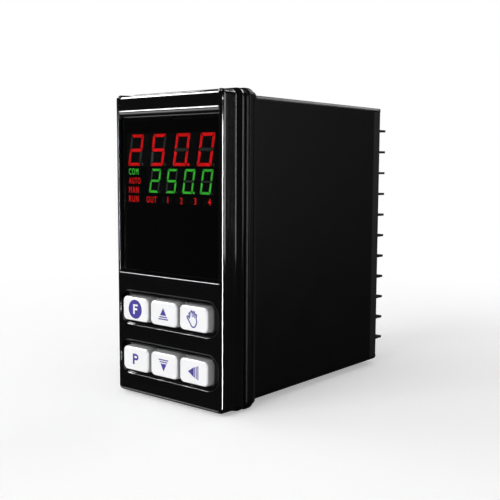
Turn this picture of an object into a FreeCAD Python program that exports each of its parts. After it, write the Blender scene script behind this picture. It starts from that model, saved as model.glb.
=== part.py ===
"""Panel-mounted PID temperature controller of 48 x 96 mm, as a parametric document.

Millimetres. +X is to the right seen from the front, +Y goes back into the panel and +Z is up. The
origin is the centre of the panel cut-out, in the plane that the gasket presses on. The case stays in the
panel; the front cover, its keys, display and circuit boards draw out of it forwards as one unit.
"""

import FreeCAD, Part
import math
import os
import re
import Sketcher

Vector = FreeCAD.Vector

SIZES = {
    # case, flange and gasket
    "flange_border": 1.8,
    "flange_corner": 2.8,
    "flange_depth": 4.2,
    "flange_bead": 1.5,
    "gasket_depth": 1.0,
    "gasket_border": 0.9,
    "case_width": 44.4,
    "case_height": 92.4,
    "case_corner": 1.6,
    "case_length": 71.9,
    "case_wall": 1.5,
    "rear_wall": 2.0,
    "mouth_corner": 0.8,
    "ear_length": 2.9,
    "ear_thickness": 1.4,
    # screw terminals on the rear
    "pole_pitch": 7.62,
    "pole_count": 12,
    "strip_width": 11.4,
    "strip_depth": 4.0,
    "strip_clearance": 0.05,
    "nut_pocket": 3.6,
    "pocket_floor": 0.6,
    "blade_clearance": 0.2,
    "fin_thickness": 0.8,
    "fin_reach": 4.0,
    "screw_inset": 5.3,
    "screw_diameter": 3.0,
    "screw_clearance": 0.05,
    "screw_head": 5.4,
    "screw_head_depth": 2.0,
    "screw_length": 4.6,
    "slot_width": 0.8,
    "slot_depth": 1.0,
    "tab_thickness": 0.8,
    "tab_side_gap": 0.6,
    "tab_setback": 1.2,
    "blade_height": 1.8,
    "blade_length": 12.0,
    "blade_inset": 9.9,
    "clamp_thickness": 0.9,
    # front cover
    "cover_depth": 8.2,
    "cover_step": 0.2,
    "cover_corner": 2.6,
    "cover_waist_depth": 5.6,
    "cover_waist_inset": 0.85,
    "cover_lip": 0.8,
    "face_inset": 1.3,
    "face_corner": 1.4,
    "face_round": 1.1,
    "front_wall": 2.8,
    "seal_gap": 1.1,
    "seal_groove": 2.0,
    "outer_wall": 1.6,
    "skirt_wall": 1.0,
    "skirt_clearance": 0.25,
    "skirt_reach": 2.6,
    "badge_sink": 0.35,
    "badge_width": 42.0,
    # display window
    "window_width": 42.4,
    "window_height": 48.8,
    "window_centre": 15.8,
    "window_sink": 1.0,
    "window_thickness": 1.0,
    "window_slope": 1.9,
    "window_ledge": 0.8,
    "window_corner": 0.6,
    "mask_thickness": 0.15,
    # digits
    "display_gap": 0.15,
    "upper_digit_height": 9.7,
    "upper_digit_width": 5.7,
    "upper_digit_stroke": 0.95,
    "upper_digit_pitch": 9.9,
    "upper_digit_left": -18.8,
    "upper_digit_bottom": 25.2,
    "lower_digit_height": 7.3,
    "lower_digit_width": 4.2,
    "lower_digit_stroke": 0.66,
    "lower_digit_pitch": 7.15,
    "lower_digit_left": -9.4,
    "lower_digit_bottom": 17.0,
    "digit_slant": 10.0,
    "digit_count": 4,
    "segment_depth": 0.6,
    "segment_gap": 0.18,
    "block_border": 1.1,
    "block_gap": 0.2,
    "lamp_rows": 4,
    "lamp_row_pitch": 2.85,
    "lamp_top": 23.4,
    "lamp_height": 2.2,
    "lamp_width": 5.8,
    "lamp_left": -18.6,
    "lamp_border": 0.25,
    "output_lamp_centre": -8.25,
    "number_lamps": 4,
    "number_lamp_pitch": 5.7,
    "number_lamp_start": -1.15,
    "number_lamp_width": 4.4,
    # keys
    "key_width": 11.6,
    "key_height": 7.7,
    "key_corner": 1.7,
    "key_round": 0.7,
    "key_taper": 3.0,
    "key_gap": 0.9,
    "key_row_upper": -19.6,
    "key_row_pitch": 16.0,
    "key_proud": 1.6,
    "key_shoulder": 0.7,
    "key_clearance": 0.25,
    "key_flange": 1.0,
    "key_flange_reach": 1.0,
    "key_stem": 4.0,
    "key_travel": 0.8,
    "well_width": 42.0,
    "well_height": 10.6,
    "well_corner": 4.2,
    "well_depth": 1.1,
    "well_round": 0.35,
    "switch_side": 6.0,
    "switch_height": 3.5,
    "plunger_diameter": 3.4,
    "plunger_reach": 1.5,
    "plunger_length": 2.4,
    # boards
    "board_thickness": 1.6,
    "board_inset": 0.6,
    "boss_diameter": 4.2,
    "boss_across": 10.0,
    "boss_upper": 41.0,
    "boss_lower": -27.6,
    "board_screw": 2.2,
    "board_screw_head": 4.0,
    "board_screw_length": 8.0,
    "board_rear_gap": 7.9,
    "side_board_clearance": 0.3,
    "guide_height": 1.2,
    "guide_width": 1.0,
    "guide_clearance": 0.2,
    "guide_start": 0.6,
    "guide_stop": 18.3,
    "socket_wall": 1.0,
    "socket_width": 4.4,
    "socket_length": 8.0,
    "socket_margin": 0.2,
    "socket_slot": 1.4,
    "socket_floor": 1.5,
    "header_side": 2.5,
    "header_height": 30.0,
    # parts on the boards
    "core_length": 22.0,
    "core_height": 19.0,
    "core_depth": 11.0,
    "core_limb": 5.0,
    "coil_clearance": 0.15,
    "coil_overhang": 2.2,
    "core_start": 30.0,
    "core_bottom": -36.0,
    "relay_length": 18.0,
    "relay_height": 10.0,
    "relay_depth": 10.0,
    "relay_start": 33.0,
    "relay_pitch": 12.0,
    "relay_bottom": -30.0,
    "relay_count": 4,
    "chip_side": 14.0,
    "chip_depth": 2.2,
    "chip_start": 10.0,
    "chip_bottom": 14.0,
    "capacitor_diameter": 12.5,
    "capacitor_length": 20.0,
    "capacitor_start": 16.0,
    "capacitor_bottom": 26.0,
    "capacitor_ratio": 0.64,
}

FLANGE_WIDTH = "(case_width + 2 * flange_border)"
FLANGE_HEIGHT = "(case_height + 2 * flange_border)"
COVER_WIDTH = "(case_width + 2 * flange_border - 2 * cover_step)"
COVER_HEIGHT = "(case_height + 2 * flange_border - 2 * cover_step)"
FLANGE_FRONT = "(-gasket_depth - flange_depth)"
COVER_REAR = "(-gasket_depth - flange_depth - seal_gap)"
FACE = "(-gasket_depth - flange_depth - seal_gap - cover_depth)"
BOARD_FRONT = "(-skirt_reach)"
BOARD_REAR = "(-skirt_reach + board_thickness)"
BLOCK_FRONT = FACE + " + window_sink + window_thickness + mask_thickness + display_gap"
KEY_PITCH = "(key_width + key_gap)"
TAB_HEIGHT = "(pole_pitch - fin_thickness - 2 * tab_side_gap)"
SCREW_HOLE = "(screw_diameter + 2 * screw_clearance)"
BLADE = "(case_width / 2 - blade_inset)"
BOARD_INNER = "(case_width / 2 - blade_inset + tab_thickness / 2 + socket_slot / 2 + socket_wall)"
SIDE_BOARD_LENGTH = "(case_length - board_rear_gap + skirt_reach - board_thickness)"
SOCKET_HEIGHT = "((pole_count - 1) * pole_pitch + blade_height + 2 * socket_margin)"
STRIP_HEIGHT = "(case_height - 2 * ear_thickness - 2 * strip_clearance)"
MOUTH_WIDTH = "(case_width - 2 * case_wall)"
MOUTH_HEIGHT = "(case_height - 2 * case_wall)"
SKIRT_WIDTH = "(case_width - 2 * case_wall - 2 * skirt_clearance)"
SKIRT_HEIGHT = "(case_height - 2 * case_wall - 2 * skirt_clearance)"

KEY_NAMES = (
    ("key_function", -1, 0), ("key_up", 0, 0), ("key_manual", 1, 0),
    ("key_program", -1, 1), ("key_down", 0, 1), ("key_shift", 1, 1),
)
BOSSES = tuple((across, height) for across in ("boss_across", "-boss_across")
               for height in ("boss_upper", "boss_lower"))
# Seven segments, named a to g clockwise from the top, that each shown character lights.
SEGMENTS = {"0": "abcdef", "2": "abged", "5": "afgcd"}
READING = "2500"
POINT_AFTER = 2

doc = FreeCAD.newDocument("temperature_controller")
sheet = doc.addObject("Spreadsheet::Sheet", "Sizes")
for row, (alias, number) in enumerate(SIZES.items(), start=1):
    sheet.set(f"A{row}", alias)
    sheet.set(f"B{row}", str(number))
    sheet.setAlias(f"B{row}", alias)
doc.recompute()


# ---- helpers ---------------------------------------------------------------------------------------

def formula(text):
    """The text as a FreeCAD expression, with each size's alias pointing into the sheet."""
    return re.sub(r"[a-z_]{3,}", lambda m: f"Sizes.{m.group()}" if m.group() in SIZES else m.group(), text)


def value(text):
    """The number that a formula in the sheet's aliases comes to."""
    return float(sheet.evalExpression(formula(text)))


def bind(thing, **properties):
    """Ties properties to formulas. Double underscores in a name stand for dots."""
    for name, text in properties.items():
        thing.setExpression(name.replace("__", "."), formula(text))
    return thing


def place(thing, x="0", y="0", z="0"):
    """Ties a thing's position to three formulas."""
    return bind(thing, Placement__Base__x=x, Placement__Base__y=y, Placement__Base__z=z)


def origin_feature(body, role):
    return next(f for f in body.Origin.OriginFeatures if f.Role == role)


def new_body(label):
    body = doc.addObject("PartDesign::Body", label)
    body.Label = label
    return body


def new_sketch(body, plane, x="0", y="0", z="0"):
    """A sketch on one of the body's origin planes, moved by x and y in the plane and z off it."""
    sketch = body.newObject("Sketcher::SketchObject", "Sketch")
    sketch.AttachmentSupport = (origin_feature(body, plane), [""])
    sketch.MapMode = "FlatFace"
    bind(sketch, AttachmentOffset__Base__x=x, AttachmentOffset__Base__y=y, AttachmentOffset__Base__z=z)
    return sketch


def face_sketch(body, depth, x="0", z="0"):
    """A sketch that faces the front, at a depth along +Y."""
    return new_sketch(body, "XZ_Plane", x, z, f"-({depth})")


def rounded_rectangle(sketch, width, height, corner):
    """Draws a rounded rectangle about the sketch's origin, with its sizes tied to formulas."""
    w, h, r = value(width) / 2, value(height) / 2, value(corner)
    corners = [(w - r, h - r, 0), (-w + r, h - r, 90), (-w + r, -h + r, 180), (w - r, -h + r, 270)]
    arcs = []
    for cx, cy, start in corners:
        circle = Part.Circle(Vector(cx, cy, 0), Vector(0, 0, 1), r)
        arcs.append(sketch.addGeometry(
            Part.ArcOfCircle(circle, math.radians(start), math.radians(start + 90)), False))
    ends = [(-w + r, h, w - r, h), (-w, -h + r, -w, h - r), (w - r, -h, -w + r, -h), (w, h - r, w, -h + r)]
    lines = [sketch.addGeometry(Part.LineSegment(Vector(*e[:2], 0), Vector(*e[2:], 0)), False) for e in ends]
    for i in range(4):
        sketch.addConstraint(Sketcher.Constraint("Tangent", arcs[i], 2, lines[i], 2))
        sketch.addConstraint(Sketcher.Constraint("Tangent", lines[i], 1, arcs[(i + 1) % 4], 1))
        sketch.addConstraint(Sketcher.Constraint("Horizontal" if i % 2 == 0 else "Vertical", lines[i]))
        if i:
            sketch.addConstraint(Sketcher.Constraint("Equal", arcs[0], arcs[i]))
    sketch.addConstraint(Sketcher.Constraint("Symmetric", arcs[0], 3, arcs[2], 3, -1, 1))
    number = sketch.ConstraintCount
    for kind, first, second, size, text in (
        ("DistanceX", arcs[1], arcs[0], 2 * (w - r), f"({width}) - 2 * ({corner})"),
        ("DistanceY", arcs[3], arcs[0], 2 * (h - r), f"({height}) - 2 * ({corner})"),
    ):
        sketch.addConstraint(Sketcher.Constraint(kind, first, 3, second, 3, size))
        sketch.setExpression(f"Constraints[{number}]", formula(text))
        number += 1
    sketch.addConstraint(Sketcher.Constraint("Radius", arcs[0], r))
    sketch.setExpression(f"Constraints[{number}]", formula(corner))
    return sketch


def polygon(sketch, points):
    """Draws a closed outline whose corners are pairs of formulas, each corner tied to the origin."""
    spots = [Vector(value(a), value(b), 0) for a, b in points]
    lines = [sketch.addGeometry(Part.LineSegment(p, q), False) for p, q in zip(spots, spots[1:] + spots[:1])]
    for i, line in enumerate(lines):
        sketch.addConstraint(Sketcher.Constraint("Coincident", line, 2, lines[(i + 1) % len(lines)], 1))
    number = sketch.ConstraintCount
    for line, spot, texts in zip(lines, spots, points):
        for kind, size, text in zip(("DistanceX", "DistanceY"), (spot.x, spot.y), texts):
            sketch.addConstraint(Sketcher.Constraint(kind, -1, 1, line, 1, size))
            sketch.setExpression(f"Constraints[{number}]", formula(text))
            number += 1
    return sketch


def grow(body, kind, sketch, length, backwards=True, **more):
    """A Pad or Pocket of a sketch. From a sketch that faces the front it goes backwards, if backwards is set."""
    feature = body.newObject(f"PartDesign::{kind}", kind)
    feature.Profile = sketch
    feature.Reversed = backwards == (kind == "Pad")
    bind(feature, Length=length, **more)
    doc.recompute()
    return feature


def block(body, kind, x, y, z, length, width, height):
    """An additive or subtractive box in a body, with its low corner and its sizes as formulas."""
    feature = body.newObject(f"PartDesign::{kind}Box", kind)
    place(bind(feature, Length=length, Width=width, Height=height), x, y, z)
    doc.recompute()
    return feature


def disc(body, kind, x, y, z, diameter, length):
    """A round boss or hole along +Y that starts at a point, from a circle that faces the front."""
    sketch = face_sketch(body, y, x, z)
    circle = sketch.addGeometry(Part.Circle(Vector(0, 0, 0), Vector(0, 0, 1), value(diameter) / 2), False)
    sketch.addConstraint(Sketcher.Constraint("Coincident", circle, 3, -1, 1))
    sketch.addConstraint(Sketcher.Constraint("Radius", circle, value(diameter) / 2))
    sketch.setExpression("Constraints[1]", formula(f"({diameter}) / 2"))
    return grow(body, kind, sketch, length)


def dress(body, kind, chosen, size):
    """A Fillet or Chamfer on the edges of the body's tip that the test picks."""
    doc.recompute()
    tip = body.Tip
    names = [f"Edge{i}" for i, edge in enumerate(tip.Shape.Edges, start=1) if chosen(edge)]
    if not names:
        raise RuntimeError(f"{body.Label}: no edge to {kind.lower()}")
    feature = body.newObject(f"PartDesign::{kind}", kind)
    feature.Base = (tip, names)
    bind(feature, **{"Radius" if kind == "Fillet" else "Size": size})
    doc.recompute()
    if "Invalid" in feature.State or "Error" in feature.State:
        raise RuntimeError(f"{body.Label}: the {kind.lower()} of {size} failed on {len(names)} edges")
    return feature


def repeat(body, originals, axis, length, count):
    """A linear pattern of features along one of the body's axes."""
    pattern = body.newObject("PartDesign::LinearPattern", "Pattern")
    pattern.Originals = originals
    pattern.Direction = (origin_feature(body, axis), [""])
    bind(pattern, Length=length, Occurrences=count)
    body.Tip = pattern
    doc.recompute()
    return pattern


def mirror(body, originals, plane):
    """Features mirrored in one of the body's origin planes."""
    mirrored = body.newObject("PartDesign::Mirrored", "Mirror")
    mirrored.Originals = originals
    mirrored.MirrorPlane = (origin_feature(body, plane), [""])
    body.Tip = mirrored
    doc.recompute()
    return mirrored


def box(label, x, y, z, length, width, height):
    """A plain Part box with its low corner and sizes as formulas."""
    thing = doc.addObject("Part::Box", label)
    thing.Label = label
    return place(bind(thing, Length=length, Width=width, Height=height), x, y, z)


def rod(label, x, y, z, diameter, length, direction):
    """A plain Part cylinder from a point along a direction."""
    thing = doc.addObject("Part::Cylinder", label)
    thing.Label = label
    thing.Placement.Rotation = FreeCAD.Rotation(Vector(0, 0, 1), direction)
    return place(bind(thing, Radius=f"({diameter}) / 2", Height=length), x, y, z)


def combine(kind, label, base, *tools):
    """Part's Cut or Fuse of a base with one tool or several."""
    tool = tools[0]
    if len(tools) > 1:
        tool = doc.addObject("Part::MultiFuse", f"{label}_tools")
        tool.Shapes = list(tools)
    result = doc.addObject(f"Part::{kind}", label)
    result.Base, result.Tool = base, tool
    result.Label = label
    return result


def group(label, solids):
    """One node of several separate solids."""
    thing = doc.addObject("Part::Feature", label)
    thing.Shape = solids[0] if len(solids) == 1 else Part.makeCompound(solids)
    thing.Label = label
    return thing


def mirrored_copy(label, source):
    """The same piece for the other side of the controller."""
    thing = doc.addObject("Part::Mirroring", label)
    thing.Source = source
    thing.Base = Vector(0, 0, 0)
    thing.Normal = Vector(1, 0, 0)
    thing.Label = label
    return thing


def lies_at(edge, **where):
    """True if every point of the edge that the test reads has the given coordinate, in millimetres."""
    ends = [edge.valueAt(edge.FirstParameter), edge.valueAt(edge.LastParameter)]
    ends.append(edge.valueAt((edge.FirstParameter + edge.LastParameter) / 2))
    return all(abs(getattr(p, axis) - spot) < 1e-4 for axis, spot in where.items() for p in ends)


def runs_along(edge, direction):
    """True for a straight edge along a direction."""
    return edge.Curve.TypeId == "Part::GeomLine" and abs(edge.Curve.Direction.dot(direction)) > 0.9999


# ---- what stays in the panel -----------------------------------------------------------------------

def make_rear_case():
    """The moulded case: a tube with a beaded flange, two ears behind, and guides for the boards."""
    body = new_body("rear_case")
    tube = rounded_rectangle(face_sketch(body, "-gasket_depth - 0.2"), "case_width", "case_height", "case_corner")
    grow(body, "Pad", tube, "gasket_depth + 0.2 + case_length")
    ear = block(body, "Additive", "-case_width / 2 + case_corner", "case_length", "case_height / 2 - ear_thickness",
                "case_width - 2 * case_corner", "ear_length", "ear_thickness")
    mirror(body, [ear], "XY_Plane")
    tip_depth = value("case_length + ear_length")
    dress(body, "Fillet", lambda e: lies_at(e, y=tip_depth) and runs_along(e, Vector(1, 0, 0)),
          "ear_thickness * 0.42")
    flange = rounded_rectangle(face_sketch(body, FLANGE_FRONT), FLANGE_WIDTH, FLANGE_HEIGHT, "flange_corner")
    grow(body, "Pad", flange, "flange_depth")
    front, back = value(FLANGE_FRONT), value("-gasket_depth")
    rim = value("case_width") / 2 + 0.3

    def on_rim(edge, depth):
        middle = edge.valueAt((edge.FirstParameter + edge.LastParameter) / 2)
        return lies_at(edge, y=depth) and (abs(middle.x) > rim or abs(middle.z) > value("case_height") / 2 + 1.1)

    dress(body, "Fillet", lambda e: on_rim(e, front) or on_rim(e, back), "flange_bead")
    mouth = rounded_rectangle(face_sketch(body, FLANGE_FRONT), MOUTH_WIDTH, MOUTH_HEIGHT, "mouth_corner")
    grow(body, "Pocket", mouth, "flange_depth + gasket_depth + case_length - rear_wall")
    bay = block(body, "Subtractive", "case_width / 2 - strip_width", "case_length - strip_depth",
                "-case_height / 2 + ear_thickness", "strip_width + 1", "strip_depth + ear_length + 1",
                "case_height - 2 * ear_thickness")
    mirror(body, [bay], "YZ_Plane")
    guides = []
    for near in (f"{BOARD_INNER} - guide_clearance - guide_width",
                 f"{BOARD_INNER} + board_thickness + guide_clearance"):
        guides.append(block(body, "Additive", near, "guide_start", f"{MOUTH_HEIGHT} / 2 - guide_height",
                            "guide_width", "case_length - guide_stop - guide_start", "guide_height + 0.2"))
    across = body.newObject("PartDesign::MultiTransform", "Guides")
    across.Originals = guides
    halves = []
    for plane in ("YZ_Plane", "XY_Plane"):
        half = body.newObject("PartDesign::Mirrored", "Half")
        half.MirrorPlane = (origin_feature(body, plane), [""])
        halves.append(half)
    across.Transformations = halves
    body.Tip = across
    doc.recompute()
    return body


def make_panel_gasket():
    """The rubber ring between the flange and the panel."""
    body = new_body("panel_gasket")
    ring = face_sketch(body, "-gasket_depth")
    rounded_rectangle(ring, f"{FLANGE_WIDTH} - 2 * gasket_border", f"{FLANGE_HEIGHT} - 2 * gasket_border",
                      "flange_corner - gasket_border")
    rounded_rectangle(ring, "case_width + 0.2", "case_height + 0.2", "case_corner + 0.1")
    grow(body, "Pad", ring, "gasket_depth")
    return body


def make_barrier_strip():
    """The right terminal strip: a block with a nut pocket and a blade slot for each pole, and the barriers."""
    body = new_body("barrier_strip_right")
    block(body, "Additive", "case_width / 2 - strip_width + strip_clearance", "case_length - strip_depth",
          f"-{STRIP_HEIGHT} / 2", "strip_width - strip_clearance", "strip_depth", STRIP_HEIGHT)
    block(body, "Additive", "case_width / 2 - strip_width + strip_clearance", "case_length", f"-{STRIP_HEIGHT} / 2",
          "fin_thickness", "fin_reach - 0.6", STRIP_HEIGHT)
    low_fin = "-(pole_count / 2 - 1) * pole_pitch"
    fin = block(body, "Additive", "case_width / 2 - strip_width + strip_clearance", "case_length - 0.5",
                f"{low_fin} - fin_thickness / 2", "strip_width - strip_clearance", "fin_reach + 0.5", "fin_thickness")
    repeat(body, [fin], "Z_Axis", "(pole_count - 2) * pole_pitch", "pole_count - 1")
    low_pole = "-(pole_count - 1) / 2 * pole_pitch"
    pocket = block(body, "Subtractive", "case_width / 2 - screw_inset - nut_pocket / 2",
                   "case_length - strip_depth + pocket_floor", f"{low_pole} - nut_pocket / 2", "nut_pocket",
                   "strip_depth", "nut_pocket")
    slot = block(body, "Subtractive", f"{BLADE} - blade_clearance", "case_length - strip_depth - 1",
                 f"{low_pole} - blade_height / 2 - blade_clearance", "tab_thickness + 2 * blade_clearance",
                 "strip_depth + 2", "blade_height + 2 * blade_clearance")
    repeat(body, [pocket, slot], "Z_Axis", "(pole_count - 1) * pole_pitch", "pole_count")
    return body


def make_terminal_tab():
    """One brass terminal: the plate under the screw, bent into a blade that reaches the boards."""
    body = new_body("terminal_tab")
    block(body, "Additive", BLADE, "case_length", f"-{TAB_HEIGHT} / 2", "blade_inset - tab_setback",
          "tab_thickness", TAB_HEIGHT)
    block(body, "Additive", BLADE, "case_length + tab_thickness - blade_length", "-blade_height / 2",
          "tab_thickness", "blade_length", "blade_height")
    disc(body, "Pocket", "case_width / 2 - screw_inset", "case_length - 1", "0", SCREW_HOLE,
         "tab_thickness + 2")
    return body


def make_wire_clamp():
    """One square saddle washer that holds a wire under the screw."""
    body = new_body("wire_clamp")
    block(body, "Additive", f"case_width / 2 - screw_inset - {TAB_HEIGHT} / 2", "case_length + tab_thickness",
          f"-{TAB_HEIGHT} / 2", TAB_HEIGHT, "clamp_thickness", TAB_HEIGHT)
    disc(body, "Pocket", "case_width / 2 - screw_inset", "case_length", "0", SCREW_HOLE,
         "tab_thickness + clamp_thickness + 1")
    return body


def make_terminal_screw():
    """One terminal screw with a slotted cheese head."""
    body = new_body("terminal_screw")
    seat = "case_length + tab_thickness + clamp_thickness"
    outline = new_sketch(body, "YZ_Plane", x=seat)
    polygon(outline, [
        ("-screw_length", "0"), ("-screw_length", "screw_diameter / 2"), ("0", "screw_diameter / 2"),
        ("0", "screw_head / 2"), ("screw_head_depth", "screw_head / 2"), ("screw_head_depth", "0"),
    ])
    turned = body.newObject("PartDesign::Revolution", "Turned")
    turned.Profile = outline
    turned.ReferenceAxis = (outline, ["H_Axis"])
    turned.Angle = 360
    doc.recompute()
    block(body, "Subtractive", "-screw_head", f"{seat} + screw_head_depth - slot_depth", "-slot_width / 2",
          "screw_head * 2", "slot_depth + 1", "slot_width")
    place(body, "case_width / 2 - screw_inset")
    return body


def make_terminal_columns():
    """Twelve tabs, clamps and screws on each side, from one master of each."""
    nodes = []
    for master, name in ((make_terminal_tab(), "terminal_tabs"), (make_wire_clamp(), "wire_clamps"),
                         (make_terminal_screw(), "terminal_screws")):
        doc.recompute()
        count, pitch = round(value("pole_count")), value("pole_pitch")
        solids = []
        for pole in range(count):
            copy = master.Shape.copy()
            copy.translate(Vector(0, 0, (pole - (count - 1) / 2) * pitch))
            solids.append(copy)
        right = group(f"{name}_right", solids)
        nodes += [right, mirrored_copy(f"{name}_left", right)]
    return nodes


# ---- the unit that draws out -----------------------------------------------------------------------

def make_front_bezel():
    """The glossy cover: waisted sides, a sunk window, two pill-shaped key wells and a skirt behind."""
    body = new_body("front_bezel")
    sections = []
    for depth, inset, corner in (
        (FACE, "face_inset", "face_corner"),
        (f"{FACE} + cover_waist_depth", "cover_waist_inset", "cover_corner - 0.5"),
        (f"{COVER_REAR} - cover_lip", "0", "cover_corner"),
    ):
        section = face_sketch(body, depth)
        rounded_rectangle(section, f"{COVER_WIDTH} - 2 * {inset}", f"{COVER_HEIGHT} - {inset}", corner)
        sections.append(section)
    loft = body.newObject("PartDesign::AdditiveLoft", "Sides")
    loft.Profile = sections[0]
    loft.Sections = sections[1:]
    loft.Ruled = True
    doc.recompute()
    lip = rounded_rectangle(face_sketch(body, f"{COVER_REAR} - cover_lip"), COVER_WIDTH, COVER_HEIGHT,
                            "cover_corner")
    grow(body, "Pad", lip, "cover_lip")
    face_depth = value(FACE)
    dress(body, "Fillet", lambda e: lies_at(e, y=face_depth), "face_round")

    # The skirt enters the case's mouth; the groove in front of it holds the seal.
    skirt = rounded_rectangle(face_sketch(body, f"{COVER_REAR} - 0.5"), SKIRT_WIDTH, SKIRT_HEIGHT,
                              "mouth_corner + 0.4")
    grow(body, "Pad", skirt, f"-skirt_reach - {COVER_REAR} + 0.5")
    hollow = rounded_rectangle(face_sketch(body, f"{FACE} + front_wall"), f"{SKIRT_WIDTH} - 2 * skirt_wall",
                               f"{SKIRT_HEIGHT} - 2 * skirt_wall", "mouth_corner")
    grow(body, "Pocket", hollow, "cover_depth + seal_gap + flange_depth + gasket_depth + 1")
    groove = face_sketch(body, f"{COVER_REAR} - seal_groove")
    rounded_rectangle(groove, f"{COVER_WIDTH} - 2 * outer_wall", f"{COVER_HEIGHT} - 2 * outer_wall",
                      "cover_corner - 1")
    rounded_rectangle(groove, SKIRT_WIDTH, SKIRT_HEIGHT, "mouth_corner + 0.4")
    grow(body, "Pocket", groove, "seal_groove + seal_gap")

    # Badge strip above the window, set back between the side rims along with its rounded top edge.
    top = f"({COVER_HEIGHT} / 2 - face_inset / 2)"
    strip_bottom = "window_centre + window_height / 2 + window_slope"
    strip = polygon(new_sketch(body, "YZ_Plane", x=FACE), [
        ("-1", strip_bottom), ("badge_sink", strip_bottom), ("badge_sink", f"{top} - face_round"),
        ("badge_sink + face_round * 0.3", f"{top} - face_round * 0.3 - badge_sink"),
        ("badge_sink + face_round", f"{top} - badge_sink"), ("cover_waist_depth", f"{top} - badge_sink + 0.5"),
        ("cover_waist_depth", f"{top} + 2"), ("-1", f"{top} + 2"),
    ])
    cut = grow(body, "Pocket", strip, "badge_width", backwards=False)
    cut.SideType = "Symmetric"

    # The window's sunk bed, with a slope down from the badge strip, then its seat and opening.
    low, high = "window_centre - window_height / 2", "window_centre + window_height / 2"
    bed = polygon(new_sketch(body, "YZ_Plane", x=FACE), [
        ("-1", low), ("window_sink", low), ("window_sink", high), ("-0.2", f"{high} + window_slope"),
        ("-1", f"{high} + window_slope"),
    ])
    cut = grow(body, "Pocket", bed, "window_width + 0.2", backwards=False)
    cut.SideType = "Symmetric"
    seat = rounded_rectangle(face_sketch(body, FACE, z="window_centre"), "window_width + 0.2",
                             "window_height", "window_corner")
    grow(body, "Pocket", seat, "window_sink + window_thickness")
    opening = rounded_rectangle(face_sketch(body, FACE, z="window_centre"), "window_width - 2 * window_ledge",
                                "window_height - 2 * window_ledge", "window_corner")
    grow(body, "Pocket", opening, "front_wall + 1")

    # Two wells, each with one slot for its three keys.
    for row in range(2):
        height = f"key_row_upper - {row} * key_row_pitch"
        well = rounded_rectangle(face_sketch(body, FACE, z=height), "well_width", "well_height", "well_corner")
        grow(body, "Pocket", well, "well_depth")
        slot = rounded_rectangle(face_sketch(body, FACE, z=height),
                                 f"2 * {KEY_PITCH} + key_width + 2 * key_clearance",
                                 "key_height + 2 * key_clearance", "key_corner")
        grow(body, "Pocket", slot, "front_wall + 1")
    well_top = value("key_row_upper + well_height / 2") + 0.01
    dress(body, "Fillet", lambda e: lies_at(e, y=face_depth) and e.BoundBox.ZMax < well_top
          and abs(e.BoundBox.XMax) < value("well_width") / 2 + 0.01
          and abs(e.BoundBox.XMin) < value("well_width") / 2 + 0.01, "well_round")

    # Bosses that the display board screws to.
    for across, height in BOSSES:
        disc(body, "Pad", across, f"{FACE} + front_wall - 0.2", height, "boss_diameter",
             f"-skirt_reach - {FACE} - front_wall + 0.2")
        disc(body, "Pocket", across, f"{FACE} + front_wall + 1", height, "board_screw + 0.05",
             "cover_depth + seal_gap + flange_depth + gasket_depth")
    return body


def make_front_seal():
    """The rubber ring in the cover's groove, which meets the case's flange."""
    body = new_body("front_seal")
    ring = face_sketch(body, f"{COVER_REAR} - seal_groove")
    rounded_rectangle(ring, f"{COVER_WIDTH} - 2 * outer_wall - 0.1", f"{COVER_HEIGHT} - 2 * outer_wall - 0.1",
                      "cover_corner - 1.05")
    rounded_rectangle(ring, f"{SKIRT_WIDTH} + 0.1", f"{SKIRT_HEIGHT} + 0.1", "mouth_corner + 0.45")
    grow(body, "Pad", ring, "seal_groove + seal_gap - 0.05")
    return body


def make_display_window():
    """The smoked window, with its front edges bevelled."""
    body = new_body("display_window")
    pane = rounded_rectangle(face_sketch(body, f"{FACE} + window_sink", z="window_centre"), "window_width",
                             "window_height - 0.2", "window_corner")
    grow(body, "Pad", pane, "window_thickness")
    front = value(f"{FACE} + window_sink")
    dress(body, "Chamfer", lambda e: lies_at(e, y=front), "window_thickness / 5")
    return body


def digit_fields():
    """Name, left, right, bottom and top of the two rows of digits, the right side with the last point."""
    fields = []
    lean = math.tan(math.radians(value("digit_slant")))
    for name in ("upper", "lower"):
        left, bottom = value(f"{name}_digit_left"), value(f"{name}_digit_bottom")
        height, pitch = value(f"{name}_digit_height"), value(f"{name}_digit_pitch")
        right = left + pitch * (value("digit_count") - 1) + value(f"{name}_digit_width") + height * lean
        fields.append((name, left, right, bottom, bottom + height))
    return fields


def plate(x_low, x_high, z_low, z_high, depth, thickness):
    """A plain upright plate between four coordinates, from a depth backwards."""
    return Part.makeBox(x_high - x_low, thickness, z_high - z_low, Vector(x_low, depth, z_low))


def lamp_fields():
    """Left, right, bottom and top of each status lamp: a column at the left, then a row underneath."""
    left, wide = value("lamp_left"), value("lamp_width")
    tall, top, step = value("lamp_height"), value("lamp_top"), value("lamp_row_pitch")
    fields = []
    for row in range(round(value("lamp_rows"))):
        middle = top - row * step
        fields.append((left, left + wide, middle - tall / 2, middle + tall / 2))
    across = [(value("output_lamp_centre"), wide)]
    for column in range(round(value("number_lamps"))):
        across.append((value("number_lamp_start") + column * value("number_lamp_pitch"),
                       value("number_lamp_width")))
    for centre, width in across:
        fields.append((centre - width / 2, centre + width / 2, middle - tall / 2, middle + tall / 2))
    return fields


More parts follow.
